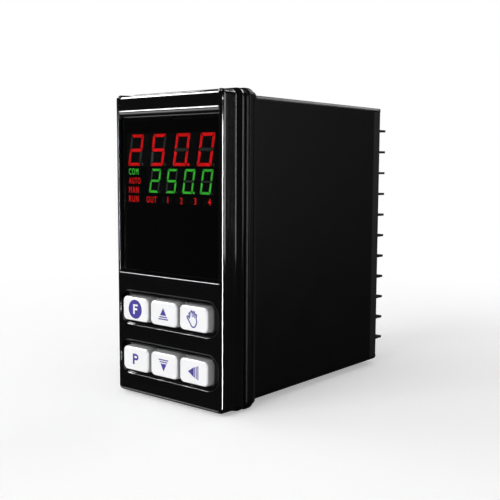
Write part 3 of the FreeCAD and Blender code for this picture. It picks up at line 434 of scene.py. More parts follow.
def smoked_pane(name, tint):
    """A clear tinted pane with a few hairline marks, which lets lamps through to what is behind it."""
    material, n, shader, where, out = new_material(
        name, {"Metallic": 0.0, "Transmission Weight": 1.0, "IOR": 1.49})
    mask = n.group(marks_group, {"Vector": where, "Amount": 0.05, "Turn": 1.1})["Mask"]
    lighter = [min(1.0, c * 1.04) for c in tint]
    n.feed(shader, {"Roughness": n.calc("ADD", mask, 0.015),
                    "Base Color": n.blend(n.noise(where, 60.0), tint, lighter)})
    clear = n.add("ShaderNodeBsdfTransparent", {"Color": tint})
    shadow = n.add("ShaderNodeLightPath").outputs["Is Shadow Ray"]
    either = n.add("ShaderNodeMixShader", {0: shadow, 1: shader.outputs[0], 2: clear.outputs[0]})
    n.feed(out, {"Surface": either.outputs[0]})
    return material


def dress_node(node, material):
    """Gives a CAD node its finished material."""
    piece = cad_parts[node]
    if not piece.material_slots:
        piece.data.materials.append(material)
    for slot in piece.material_slots:
        slot.material = material


# ---- mesh helpers ----------------------------------------------------------------------------------

STANDING = Matrix.Rotation(math.radians(90), 4, "X")


def new_object(name, data):
    """A new object in the scene."""
    thing = bpy.data.objects.new(name, data)
    bpy.context.scene.collection.objects.link(thing)
    return thing


def plain_mesh(maker):
    """The mesh that a curve, a text or a live modifier makes. The object that made it is removed."""
    bpy.context.view_layer.update()
    graph = bpy.context.evaluated_depsgraph_get()
    mesh = bpy.data.meshes.new_from_object(maker.evaluated_get(graph), depsgraph=graph)
    bpy.data.objects.remove(maker)
    return mesh


def take_mesh(maker, name, place, material, body):
    """Turns a curve, text or live-modifier object into a plain mesh piece at its place, riding on a body."""
    mesh = plain_mesh(maker)
    mesh.transform(place)
    mesh.name = name
    if not mesh.polygons:
        raise RuntimeError(f"{name} came out without faces")
    if not any(mesh.materials):
        mesh.materials.clear()
        mesh.materials.append(material)
    piece = new_object(name, mesh)
    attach(piece, body)
    return piece


def flat_print(name, outlines, thickness, centre, depth, material, body):
    """A print of closed outlines in millimetres about a centre, holes included, raised from a front face."""
    curve = bpy.data.curves.new(name, "CURVE")
    curve.dimensions, curve.fill_mode, curve.extrude = "2D", "BOTH", thickness
    for outline in outlines:
        spline = curve.splines.new("POLY")
        spline.points.add(len(outline) - 1)
        for point, (x, z) in zip(spline.points, outline):
            point.co = (x * MM, z * MM, 0.0, 1.0)
        spline.use_cyclic_u = True
    place = Matrix.Translation((centre[0], depth, centre[1])) @ STANDING
    return take_mesh(new_object(name, curve), name, place, material, body)


def circle(radius, steps):
    """The outline of a circle about its own centre."""
    turns = [2 * math.pi * i / steps for i in range(steps)]
    return [(radius * math.cos(t), radius * math.sin(t)) for t in turns]


def bar(x_low, x_high, z_low, z_high):
    """The outline of an upright rectangle."""
    return [(x_low, z_low), (x_high, z_low), (x_high, z_high), (x_low, z_high)]


def closed_line(points, width):
    """The two outlines of a closed line of even width, through points that are close together."""
    half = width / 2
    left, right = [], []
    for i, (x, z) in enumerate(points):
        before, after = points[i - 1], points[(i + 1) % len(points)]
        across, along = after[0] - before[0], after[1] - before[1]
        reach = math.hypot(across, along) or 1.0
        left.append((x - along / reach * half, z + across / reach * half))
        right.append((x + along / reach * half, z - across / reach * half))
    return [left, right]


# ---- key legends -----------------------------------------------------------------------------------

BAR_GAP = 0.30  # space between the bars of an arrow, in millimetres
LETTER_F = ((-0.30, -0.50), (-0.06, -0.50), (-0.06, -0.08), (0.2984, -0.08), (0.2984, 0.10), (-0.06, 0.10),
            (-0.06, 0.32), (0.38, 0.32), (0.38, 0.50), (-0.30, 0.50))
HAND_SCALE = 5.2  # height of the hand that the numbers below draw
THUMB = ((-0.95, -1.55), (-1.32, -1.05), (-1.75, -0.45), (-2.18, 0.02), (-2.36, 0.36), (-2.20, 0.62),
         (-1.90, 0.60), (-1.62, 0.28), (-1.34, -0.02))
# Each finger has the middle of its foot, its lean in degrees and its length.
FINGERS = ((-1.05, 0.35, 104, 1.30), (-0.42, 0.62, 96, 1.62), (0.24, 0.58, 86, 1.55), (0.86, 0.28, 74, 1.22))
FINGER_WIDTH = 0.54
PALM = ((1.42, -0.30), (1.40, -0.95), (1.12, -1.55), (0.85, -2.05), (0.35, -2.36), (-0.25, -2.34),
        (-0.68, -2.02))


def letter_p(height):
    """A plain upright P about its own centre, with its eye."""
    stem, wide = height * 0.23, height * 0.76
    left, low = -wide / 2, -height / 2
    outer, inner = height * 0.30, height * 0.30 - stem * 0.85
    middle, bowl = low + height - outer, left + wide - outer
    turns = [math.radians(90 - 180 * k / 16) for k in range(17)]
    curves = [[(bowl + r * math.cos(t), middle + r * math.sin(t)) for t in turns] for r in (outer, inner)]
    return [[(left, low + height), *curves[0], (left + stem, middle - outer), (left + stem, low), (left, low)],
            [(left + stem, middle + inner), *curves[1], (left + stem, middle - inner)]]


def arrow_and_bars(way, size, thickness):
    """An arrow head over or beside its bars: up, down or left."""
    half, head = size / 2, size * 0.56
    if way == "left":
        shapes = [[(-half, 0.0), (-half + head, -half * 0.72), (-half + head, half * 0.72)]]
        for k in range(3):
            x = -half + head + 0.18 + k * (thickness + BAR_GAP)
            reach = half * (0.76 + 0.12 * k)
            shapes.append(bar(x, x + thickness, -reach, reach))
        return shapes
    low = -(head + 2 * thickness + 0.62) / 2
    second = low + thickness + BAR_GAP
    foot = second + thickness + 0.32
    shapes = [bar(-half, half, low, low + thickness),
              bar(-half * 0.8, half * 0.8, second, second + thickness),
              [(-half * 0.62, foot), (half * 0.62, foot), (0.0, foot + head)]]
    return [[(x, -z) for x, z in shape] for shape in shapes] if way == "down" else shapes


def open_hand(height, line):
    """The outline of an open hand: a palm, a thumb and four fingers."""
    unit, half = height / HAND_SCALE, FINGER_WIDTH / 2
    path = list(THUMB)
    for x, z, lean, reach in FINGERS:
        ahead_x, ahead_z = math.cos(math.radians(lean)), math.sin(math.radians(lean))
        side_x, side_z = ahead_z * half, -ahead_x * half
        tip_x, tip_z = x + ahead_x * (reach - half), z + ahead_z * (reach - half)
        path.append((x - side_x, z - side_z))
        for k in range(7):
            bend = math.radians(180 - 30 * k)
            path.append((tip_x + side_x * math.cos(bend) + ahead_x * half * math.sin(bend),
                         tip_z + side_z * math.cos(bend) + ahead_z * half * math.sin(bend)))
        path.append((x + side_x, z + side_z))
    path += PALM
    dense = []
    for (x, z), (next_x, next_z) in zip(path, path[1:] + path[:1]):
        steps = max(1, round(math.hypot(next_x - x, next_z - z) / 0.18))
        dense += [((x + (next_x - x) * k / steps) * unit, (z + (next_z - z) * k / steps) * unit)
                  for k in range(steps)]
    for _ in range(2):
        dense = [((a[0] + 2 * b[0] + c[0]) / 4, (a[1] + 2 * b[1] + c[1]) / 4)
                 for a, b, c in zip(dense[-1:] + dense[:-1], dense, dense[1:] + dense[:1])]
    return closed_line(dense, line)


def legend_shapes(sizes):
    """Outlines in millimetres for each key's print."""
    letter, arrow, line = sizes.letter / MM, sizes.arrow / MM, sizes.bar / MM
    small = letter * 0.92
    return {
        "function": [circle(sizes.disc / MM / 2, 64), [(x * small, z * small) for x, z in LETTER_F]],
        "up": arrow_and_bars("up", arrow, line),
        "manual": open_hand(sizes.hand / MM, line * 1.2),
        "program": letter_p(letter),
        "down": arrow_and_bars("down", arrow, line),
        "shift": arrow_and_bars("left", arrow, line),
    }


class CONTROLLER_OT_keys(bpy.types.Operator):
    """Finish the white key caps and print their legends."""

    bl_idname = "controller.keys"
    bl_label = "Keys"

    def execute(self, context):
        finish, sizes = context.scene.controller_finish, context.scene.controller_legends
        cap = moulded("Key Cap", finish.key, 0.34, 0.0005, 0.00001, mottle=0.04, unevenness=0.1, marks=0.04,
                      flank_shade=0.7)
        stem = moulded("Plunger Plastic", finish.rubber, 0.5, 0.0003, 0.00001)
        ink = moulded("Legend Ink", finish.legend, 0.45, 0.00012, 0.000004, mottle=0.25, unevenness=0.2)
        shapes = legend_shapes(sizes)
        for name in KEYS:
            dress_node(f"key_{name}", cap)
            dress_node(f"plunger_{name}", stem)
            low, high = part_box(f"key_{name}")
            centre = ((low.x + high.x) / 2, (low.z + high.z) / 2)
            flat_print(f"key_legend_{name}", shapes[name], sizes.ink, centre, low.y, ink, f"{name}_key")
        return {"FINISHED"}


# ---- display ---------------------------------------------------------------------------------------

WORDS_DOWN = (("COM", "green", 4.3), ("AUTO", "red", 5.2), ("MAN", "red", 4.3), ("RUN", "red", 4.3))
LETTER_SPACE, NUMBER_WIDTH = 1.24, 0.85  # spaces between letters, and widths where none is given
FIRST_ROW, ROW_PITCH = 1.1, 2.85  # the rows of words, down from the top of their diffusers
WORDS_ACROSS = (("OUT", -8.25, 4.4), ("1", -1.15, 0), ("2", 4.55, 0), ("3", 10.25, 0), ("4", 15.95, 0))


def word_mesh(text, height, middle, width, left=None, centre=0.0):
    """One word as a flat mesh in metres, as high and, if given, as wide as asked, from its left or centre."""
    curve = bpy.data.curves.new(text, "FONT")
    curve.body, curve.space_character, curve.resolution_u = text, LETTER_SPACE, 3
    mesh = plain_mesh(new_object(text, curve))
    xs, ys = [v.co.x for v in mesh.vertices], [v.co.y for v in mesh.vertices]
    tall = height / (max(ys) - min(ys))
    wide = width / (max(xs) - min(xs)) if width else tall * NUMBER_WIDTH
    start = centre - (max(xs) - min(xs)) * wide / 2 if left is None else left
    for v in mesh.vertices:
        v.co = Vector((start + (v.co.x - min(xs)) * wide, (v.co.y - (min(ys) + max(ys)) / 2) * tall + middle, 0))
    return mesh


def words_piece(name, meshes, depth, thickness, material):
    """Joins flat words into one closed piece, raised from a depth, riding on the plug-in unit."""
    verts, faces = [], []
    for mesh in meshes:
        start = len(verts)
        verts += [(v.co.x, depth, v.co.y) for v in mesh.vertices]
        faces += [[start + i for i in p.vertices] for p in mesh.polygons]
        bpy.data.meshes.remove(mesh)
    shape = bpy.data.meshes.new(name)
    shape.from_pydata(verts, [], faces)
    maker = new_object(name, shape)
    wall = maker.modifiers.new("Thickness", "SOLIDIFY")
    wall.thickness, wall.offset = thickness, 1.0
    return take_mesh(maker, name, Matrix.Identity(4), material, UNIT)


class CONTROLLER_OT_display(bpy.types.Operator):
    """Finish the window, digits and lamps, and set the status words in front of their diffusers."""

    bl_idname = "controller.display"
    bl_label = "Display"

    def execute(self, context):
        finish, sizes = context.scene.controller_finish, context.scene.controller_legends
        dress_node("display_window", smoked_pane("Smoked Window", finish.smoke))
        dress_node("window_mask", moulded("Mask Film", finish.film, 0.6, 0.0004, 0.000005, shine=0.0))
        housing = moulded("Display Housing", finish.housing, 0.55, 0.0004, 0.00001, shine=0.0)
        for node in ("upper_display_block", "lower_display_block", "status_light_box"):
            dress_node(node, housing)
        dress_node("status_diffusers", moulded("Status Film", finish.housing, 0.5, 0.0003, 0.000005, shine=0.0))
        unlit = moulded("Unlit Segment", finish.dark, 0.5, 0.0003, 0.00001, mottle=0.5, shine=0.0)
        low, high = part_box("status_diffusers")
        rows = [high.z - (FIRST_ROW + k * ROW_PITCH) * MM for k in range(len(WORDS_DOWN))]
        words = {"red": [], "green": []}
        for (text, colour, width), row in zip(WORDS_DOWN, rows):
            words[colour].append(word_mesh(text, sizes.word, row, width * MM, left=low.x + 0.15 * MM))
        for text, x, width in WORDS_ACROSS:
            words["red"].append(word_mesh(text, sizes.word, rows[-1], width * MM, centre=x * MM))
        for name, colour in (("red", finish.red), ("green", finish.green)):
            dress_node(f"{name}_segments_lit", lit(f"{name.title()} Light", colour, sizes.glow))
            dress_node(f"{name}_segments_dark", unlit)
            words_piece(f"status_words_{name}", words[name], low.y - 0.01 * MM, 0.03 * MM,
                        lit(f"{name.title()} Word", colour, sizes.word_glow))
        return {"FINISHED"}


# ---- mouldings -------------------------------------------------------------------------------------

def polished_cover(name, colour, sizes):
    """Polished black plastic: softened edges, faint waves down its sides, and a hollow slope over the window."""
    material, n, shader, where, _ = new_material(name)
    surface = n.group(moulded_group, {
        "Vector": where, "Colour": colour, "Mottle": 0.2, "Roughness": 0.07, "Unevenness": 0.04,
        "Grain Size": 0.006, "Grain Height": 1.0,
    })
    mask = n.group(marks_group, {"Vector": where, "Amount": 0.06})["Mask"]
    height = n.split(where)[2]
    slope_low = sizes.slope_top - 3 * MM
    facing = n.facing("True Normal")
    # The slope over the window faces down and forwards, and is the only such face above slope_low.
    sloped = n.times(n.calc("LESS_THAN", facing[2], -0.25), n.calc("LESS_THAN", facing[1], -0.6))
    sloped = n.times(sloped, n.calc("GREATER_THAN", height, slope_low))
    # Below it, faces that look down shine less.
    under = n.times(n.ramp(n.facing()[2], -0.12, -0.35),
                    n.calc("LESS_THAN", height, slope_low))
    # The slope flattens with the distance below its upper edge, and the sides are faintly wavy.
    down = n.calc("SUBTRACT", sizes.slope_top, height)
    hollow = n.times(n.times(down, down), sizes.hollow / MM / 2)
    waves = n.noise(n.stretch(where, 400.0, 700.0, 14.0), 1.0, 1.0)
    side = n.calc("GREATER_THAN", n.calc("ABSOLUTE", facing[0]), 0.7)
    relief = n.calc("ADD", n.times(n.times(waves, side), sizes.waves), n.times(hollow, sloped))
    soft = n.add("ShaderNodeBevel", {"Radius": sizes.edge}, samples=8).outputs[0]
    n.feed(shader, {
        "Base Color": surface["Colour"],
        "Roughness": n.calc("ADD", surface["Roughness"], mask, clamp=True),
        "Specular IOR Level": n.calc("MULTIPLY_ADD", under, -0.45, 0.5),
        "Normal": n.bump(relief, 1.0, 1.0, Normal=soft),
    })
    return material


class CONTROLLER_OT_cover(bpy.types.Operator):
    """Finish the polished front cover and its seal."""

    bl_idname = "controller.cover"
    bl_label = "Front cover"

    def execute(self, context):
        finish, settings = context.scene.controller_finish, context.scene.controller_cover
        dress_node("front_bezel", polished_cover("Cover Plastic", finish.cover, settings))
        dress_node("front_seal", moulded("Seal Rubber", finish.rubber, 0.6, 0.0003, 0.00002, shine=0.1))
        return {"FINISHED"}


class CONTROLLER_OT_case(bpy.types.Operator):
    """Finish the case, its gasket and the terminal strips."""

    bl_idname = "controller.case"
    bl_label = "Case"

    def execute(self, context):
        finish = context.scene.controller_finish
        dress_node("rear_case", moulded("Rear Moulding", finish.case, 0.38, 0.0004, 0.00002, unevenness=0.1,
                                        shine=0.08))
        dress_node("panel_gasket", moulded("Gasket Rubber", finish.rubber, 0.65, 0.0003, 0.00002, shine=0.1))
        strip = moulded("Strip Plastic", finish.strip, 0.38, 0.0005, 0.00002, shine=0.2)
        for side in ("right", "left"):
            dress_node(f"barrier_strip_{side}", strip)
        return {"FINISHED"}


# ---- screws ----------------------------------------------------------------------------------------

def grow_piece(name, points, tree, values, body):
    """Runs a geometry tree on a set of points and keeps the result as a plain mesh piece on a body."""
    mesh = bpy.data.meshes.new(name)
    mesh.from_pydata([tuple(p) for p in points], [], [])
    maker = bpy.data.objects.new(name, mesh)
    bpy.context.scene.collection.objects.link(maker)
    modifier = maker.modifiers.new("Shape", "NODES")
    modifier.node_group = tree
    for item in tree.interface.items_tree:
        if item.in_out == "INPUT" and item.name in values:
            modifier[item.identifier] = values[item.name]
    bpy.context.view_layer.update()
    return take_mesh(maker, name, Matrix.Identity(4), None, body)


def placed(n, geometry, **change):
    """Geometry with a Translation or a Rotation."""
    return n.add("GeometryNodeTransform", {"Geometry": geometry, **change}).outputs[0]


def on_points(n, given, out, shape, rotation, **choice):
    """Ends a geometry tree: its shape on every point, made real and given its material."""
    spread = n.add("GeometryNodeInstanceOnPoints", {
        "Points": given["Geometry"], "Instance": shape, "Rotation": rotation, **choice})
    real = n.add("GeometryNodeRealizeInstances", {"Geometry": spread.outputs[0]})
    done = n.add("GeometryNodeSetMaterial", {"Geometry": real.outputs[0], "Material": given["Material"]})
    n.feed(out, {"Geometry": done.outputs[0]})
    return n.tree


def point_tree(name, inputs):
    """An empty geometry tree that takes points and a material."""
    return node_group("Geometry", name, {"Geometry": "Geometry", **inputs, "Material": "Material"},
                      {"Geometry": "Geometry"})


def screw_tree():
    """Domed screws with a crossed slot on every point, their heads towards +Y."""
    n, given, out = point_tree("Screws", {
        "Head Width": 0.005, "Head Height": 0.002, "Dome": 0.4, "Slot Width": 0.0009, "Slot Depth": 0.001,
        "Shank Width": 0.003, "Shank Length": 0.005})
    radius, tall = n.calc("DIVIDE", given["Head Width"], 2.0), given["Head Height"]
    long_slot, short_slot, roundness = 2.4, 1.3, 2.6  # lengths as shares of the radius, and a power
    head = n.add("GeometryNodeMeshCylinder", {"Vertices": 40, "Side Segments": 1, "Fill Segments": 5,
                                              "Radius": radius, "Depth": tall})
    lifted = placed(n, head.outputs["Mesh"], Translation=n.vector(Z=n.calc("DIVIDE", tall, 2.0)))
    spot = n.split(n.add("GeometryNodeInputPosition").outputs[0])
    reach = n.calc("SQRT", n.calc("ADD", n.calc("POWER", spot[0], 2.0), n.calc("POWER", spot[1], 2.0)))
    curve = n.calc("POWER", n.calc("DIVIDE", reach, radius), roundness)
    drop = n.times(n.times(curve, n.calc("DIVIDE", spot[2], tall)), n.times(given["Dome"], tall))
    domed = n.add("GeometryNodeSetPosition", {"Geometry": lifted, "Offset": n.vector(Z=n.times(drop, -1.0))})
    cut = n.add("GeometryNodeMeshBoolean", {"Mesh 1": domed.outputs[0]}, operation="DIFFERENCE")
    for turn, length in ((0.0, long_slot), (math.pi / 2, short_slot)):
        size = n.vector(X=n.times(radius, length), Y=given["Slot Width"], Z=n.times(given["Slot Depth"], 2.0))
        cube = n.add("GeometryNodeMeshCube", {"Size": size})
        n.feed(cut, {"Mesh 2": placed(n, cube.outputs["Mesh"], Rotation=(0.0, 0.0, turn),
                                      Translation=n.vector(Z=tall))})
    shank = n.add("GeometryNodeMeshCylinder", {"Vertices": 24, "Depth": given["Shank Length"],
                                               "Radius": n.calc("DIVIDE", given["Shank Width"], 2.0)})
    sunk = placed(n, shank.outputs["Mesh"], Translation=n.vector(Z=n.times(given["Shank Length"], -0.5)))
    whole = n.add("GeometryNodeJoinGeometry")
    for part in (cut.outputs[0], sunk):
        n.feed(whole, {0: part})
    turned = placed(n, whole.outputs[0], Rotation=(-math.pi / 2, 0.0, 0.0))
    angle = n.add("FunctionNodeRandomValue", {
        2: -0.9, 3: 0.9, "ID": n.add("GeometryNodeInputIndex").outputs[0], "Seed": 3}, data_type="FLOAT")
    return on_points(n, given, out, turned, n.vector(Y=angle.outputs[1]))


TERMINAL_SCREW = {"Head Height": 2.0 * MM, "Slot Depth": 1.0 * MM, "Shank Width": 3.0 * MM,
                  "Shank Length": 4.5 * MM}
BOARD_SCREW = {"Head Height": 1.4 * MM, "Slot Width": 0.6 * MM, "Slot Depth": 0.8 * MM,
               "Shank Width": 2.2 * MM, "Shank Length": 7.9 * MM}


class CONTROLLER_OT_terminals(bpy.types.Operator):
    """Make the terminal and board screws, and finish the tabs and clamps."""

    bl_idname = "controller.terminals"
    bl_label = "Terminals and screws"

    def execute(self, context):
        finish, sizes = context.scene.controller_finish, context.scene.controller_terminals
        zinc = plated("Zinc Plate", finish.zinc, (0.50, 0.50, 0.48), 0.29)
        tinned = plated("Tinned Brass", finish.brass, (0.55, 0.46, 0.30), 0.26)
        tree = screw_tree()
        values = {"Head Width": sizes.head, "Dome": sizes.dome, "Slot Width": sizes.slot, "Material": zinc,
                  **TERMINAL_SCREW}
        for side in ("right", "left"):
            dress_node(f"terminal_tabs_{side}", tinned)
            dress_node(f"wire_clamps_{side}", zinc)
            low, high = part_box(f"terminal_screws_{side}")
            middle = (low + high) / 2
            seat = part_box(f"wire_clamps_{side}")[1].y
            first = middle.z - sizes.pitch * (sizes.poles - 1) / 2
            points = [(middle.x, seat, first + sizes.pitch * k) for k in range(sizes.poles)]
            piece = grow_piece(f"terminal_screw_set_{side}", points, tree, values, "case")
            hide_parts(f"terminal_screws_{side}")
        low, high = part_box("board_screws")
        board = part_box("display_board")[1].y
        inset = sizes.board_head / 2
        points = [(x, board, z) for x in (low.x + inset, high.x - inset) for z in (low.z + inset, high.z - inset)]
        values.update({"Head Width": sizes.board_head, **BOARD_SCREW})
        piece = grow_piece("board_screw_set", points, tree, values, UNIT)
        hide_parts("board_screws")
        return {"FINISHED"}


# ---- boards ----------------------------------------------------------------------------------------

def chips_tree():
    """Small rectangular parts on a chosen share of the points, or only their two metal ends."""
    n, given, out = point_tree("Chip Parts", {
        "Length": 0.002, "Width": 0.00125, "Height": 0.0005, "End Share": 0.2, "Ends": False, "Share": 0.6,
        "Seed": 1, "Facing": "Vector"})
    length, width, height, end = (given[name] for name in ("Length", "Width", "Height", "End Share"))
    body = n.times(length, n.calc("SUBTRACT", 1.0, n.times(end, 2.0)))
    middle = n.add("GeometryNodeMeshCube", {"Size": n.vector(X=body, Y=width, Z=height)})
    size = n.vector(X=n.times(length, end), Y=n.times(width, 1.04), Z=n.times(height, 1.06))
    offset = n.times(length, n.calc("SUBTRACT", 0.5, n.calc("DIVIDE", end, 2.0)))
    ends = n.add("GeometryNodeJoinGeometry")
    for side in (-1.0, 1.0):
        cube = n.add("GeometryNodeMeshCube", {"Size": size})
        n.feed(ends, {0: placed(n, cube.outputs["Mesh"], Translation=n.vector(X=n.times(offset, side)))})
    shape = n.add("GeometryNodeSwitch", {"Switch": given["Ends"], "False": middle.outputs["Mesh"],
                                         "True": ends.outputs[0]}, input_type="GEOMETRY")
    seated = placed(n, shape.outputs[0], Translation=n.vector(Z=n.calc("DIVIDE", height, 2.0)))
    index = n.add("GeometryNodeInputIndex").outputs[0]
    chosen, turned = (n.add("FunctionNodeRandomValue", {"Probability": share, "ID": index, "Seed": seed},
                            data_type="BOOLEAN").outputs[3]
                      for share, seed in ((given["Share"], given["Seed"]),
                                          (0.5, n.calc("ADD", given["Seed"], 11.0))))
    spun = n.add("FunctionNodeAxisAngleToRotation", {"Axis": (0.0, 0.0, 1.0),
                                                     "Angle": n.times(turned, math.pi / 2)})
    faced = n.add("FunctionNodeEulerToRotation", {"Euler": given["Facing"]})
    whole = n.add("FunctionNodeRotateRotation", {"Rotation": faced.outputs[0], "Rotate By": spun.outputs[0]},
                  rotation_space="LOCAL")
    return on_points(n, given, out, seated, whole.outputs[0], Selection=chosen)


def joints_tree():
    """A small blunt cone of solder on every point."""
    n, given, out = point_tree("Solder Joints", {
        "Width": 0.0017, "Height": 0.0009, "Facing": "Vector"})
    radius = n.calc("DIVIDE", given["Width"], 2.0)
    cone = n.add("GeometryNodeMeshCone", {"Vertices": 16, "Side Segments": 3, "Radius Bottom": radius,
                                          "Radius Top": n.times(radius, 0.35), "Depth": given["Height"]})
    faced = n.add("FunctionNodeEulerToRotation", {"Euler": given["Facing"]})
    return on_points(n, given, out, cone.outputs["Mesh"], faced.outputs[0])


def striped(name, axis, pitch, light, dark, share=0.75, roughness=0.45, metallic=0.0):
    """A material with even stripes across one axis."""
    material, n, shader, where, _ = new_material(name, {"Roughness": roughness, "Metallic": metallic})
    bands = n.group(stripes_group, {"Along": n.split(where)[axis], "Pitch": pitch, "Light": light,
                                    "Dark": dark, "Share": share})
    n.feed(shader, {"Base Color": bands["Colour"], "Normal": n.bump(bands["Height"], 0.4, 0.00005)})
    return material


def sleeve_material(name):
    """A capacitor's printed sleeve, with bare aluminium on its end."""
    material, n, shader, where, _ = new_material(name)
    surface = n.group(moulded_group, {"Vector": where, "Colour": (0.012, 0.016, 0.06), "Roughness": 0.3,
                                      "Grain Size": 0.0005})
    end = n.calc("GREATER_THAN", n.facing()[0], 0.9)
    n.feed(shader, {"Base Color": n.blend(end, surface["Colour"], (0.75, 0.76, 0.78)), "Metallic": end,
                    "Roughness": surface["Roughness"], "Normal": n.bump(surface["Height"], 0.2, 0.00001)})
    return material


def grid(y_low, y_high, z_low, z_high, pitch):
    """Points at an even pitch over an upright field: distances back and up, in millimetres."""
    rows, columns = int((z_high - z_low) / pitch) + 1, int((y_high - y_low) / pitch) + 1
    return [(y_low + c * pitch, z_low + r * pitch) for r in range(rows) for c in range(columns)]


# Places on the two upright boards, as distances back and up from the middle of the cut-out, in millimetres.
CHIP_SPOTS = {"power": grid(5, 27, -41, 14, 4.4) + grid(38, 53, -12, 40, 4.4),
              "control": grid(5, 28, -41, 10, 3.6) + grid(30, 53, 21, 41, 3.6)}
SOCKET_PINS = [(58.5 + 3 * k, -41.9 + 7.62 * p) for k in range(2) for p in range(12)]
HEADER_PINS = [(1.2, -9 + 2.54 * k) for k in range(11)]
TRANSFORMER_PINS = [(34 + 4 * k, z) for k in range(5) for z in (-30.5, -22.5)]
CAPACITOR_PINS = [(13.5, 26), (18.5, 26), (30, 26), (33.5, 26)]
CONTROL_PINS = [(35 + 5 * k, -28 + 12 * r + 6 * s) for k in range(4) for r in range(4) for s in range(2)]
PIN_SPOTS = {"power": SOCKET_PINS + TRANSFORMER_PINS + CAPACITOR_PINS + HEADER_PINS,
             "control": SOCKET_PINS + CONTROL_PINS + HEADER_PINS}
# Places on the display board, across and up.
DISPLAY_SPOTS = [(x, z) for x in range(-11, 12, 3) for z in range(-22, 38, 4)]


class CONTROLLER_OT_boards(bpy.types.Operator):
    """Finish the circuit boards and their parts, and add small parts and solder joints."""

    bl_idname = "controller.boards"
    bl_label = "Circuit boards"

    def execute(self, context):
        finish, sizes = context.scene.controller_finish, context.scene.controller_boards
        mask = from_group("Solder Mask", board_group, {
            "Mask Colour": finish.board, "Track Colour": finish.copper, "Pitch": 0.0028}, 0.3, 0.00003)
        for node in ("display_board", "power_board", "control_board"):
            dress_node(node, mask)
        black = moulded("Part Moulding", (0.012, 0.012, 0.013), 0.42, 0.0004, 0.00002)
        for node in ("key_switches", "terminal_socket_right", "terminal_socket_left", "board_headers",
                     "processor_chip"):
            dress_node(node, black)
        dress_node("relays", moulded("Relay Moulding", (0.012, 0.05, 0.22), 0.3, 0.0006, 0.00001, mottle=0.15))
        dress_node("transformer_core", striped("Laminations", 0, 0.0005, (0.20, 0.20, 0.21),
                                               (0.03, 0.03, 0.03), metallic=0.6))
        dress_node("transformer_coil", striped("Winding Tape", 1, 0.0052, (0.75, 0.52, 0.06),
                                               (0.55, 0.36, 0.03), share=0.93, roughness=0.4))
        dress_node("capacitors", sleeve_material("Capacitor Sleeve"))
        solder = plated("Solder", (0.66, 0.67, 0.68), (0.55, 0.55, 0.55), 0.3)
        ceramic = moulded("Chip Ceramic", (0.03, 0.025, 0.022), 0.35, 0.0002, 0.000005, mottle=0.6)
        chips, joints = chips_tree(), joints_tree()
        power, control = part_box("power_board"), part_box("control_board")
        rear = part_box("display_board")[1].y
        quarter = math.pi / 2
        fields = (
            ("power", [(power[1].x, y * MM, z * MM) for y, z in CHIP_SPOTS["power"]], (0.0, quarter, 0.0)),
            ("control", [(control[0].x, y * MM, z * MM) for y, z in CHIP_SPOTS["control"]],
             (0.0, -quarter, 0.0)),
            ("display", [(x * MM, rear, z * MM) for x, z in DISPLAY_SPOTS], (-quarter, 0.0, 0.0)),
        )
        for number, (name, points, facing) in enumerate(fields):
            values = {"Length": sizes.chip_length, "Width": sizes.chip_width, "Height": sizes.chip_height,
                      "End Share": 0.2, "Share": sizes.share, "Seed": sizes.seed + number, "Facing": facing}
            for part, ends, material in (("bodies", False, ceramic), ("ends", True, solder)):
                grow_piece(f"{name}_chip_{part}", points, chips,
                           {**values, "Ends": ends, "Material": material}, UNIT)
        lift = 0.44 * MM  # half a joint's height, less a little that sinks into the board
        for name, x, turn in (("power", power[0].x - lift, -quarter), ("control", control[1].x + lift, quarter)):
            points = [(x, y * MM, z * MM) for y, z in PIN_SPOTS[name]]
            grow_piece(f"{name}_solder_joints", points, joints, {
                "Width": sizes.joint, "Height": 0.9 * MM, "Facing": (0.0, turn, 0.0), "Material": solder}, UNIT)
        return {"FINISHED"}


# ---- stage -----------------------------------------------------------------------------------------

LAMPS = (  # name, direction from the object, distance, width, height, brightness, what it lights
    ("key_fill", (-0.18, -0.86, 0.48), 1.10, 0.80, 0.70, 3.0, "surfaces"),
    ("left_fill", (-0.80, -0.25, 0.55), 1.10, 0.70, 0.70, 1.20, "surfaces"),
    ("right_fill", (0.85, 0.25, 0.45), 1.20, 0.80, 0.60, 0.30, "surfaces"),
    ("rear_fill", (0.05, 0.85, 0.52), 1.20, 0.90, 0.60, 1.20, "surfaces"),
    ("top_shine", (-0.69, -0.30, 0.64), 0.90, 0.75, 0.36, 22.0, "shine"),
    ("edge_shine", (0.862, -0.488, -0.13), 1.00, 0.12, 0.46, 125.0, "shine"),
    ("rim_shine", (-0.634, -0.555, 0.535), 1.00, 0.36, 0.12, 16.0, "shine"),
    ("front_shine", (0.18, -0.47, 0.86), 1.00, 0.45, 0.30, 9.0, "shine"),
    ("side_glow", (0.857, 0.515, 0.16), 1.00, 0.16, 0.56, 8.0, "shine"),
    ("side_shine", (0.66, 0.73, 0.05), 1.00, 0.30, 0.25, 0.4, "shine"),
    ("rear_shine", (0.10, 0.80, 0.60), 1.00, 0.60, 0.30, 6.0, "shine"),
)
FLOOR_FADE = (0.12, 0.34)  # distances at which the floor starts to turn white and is white
FLOOR_LIFT = 0.36  # light that the floor gives near the object
TABLE_GLOW = ((-0.69, -0.40, -0.60), 0.962, 0.992)  # direction, and where its glow starts and is full


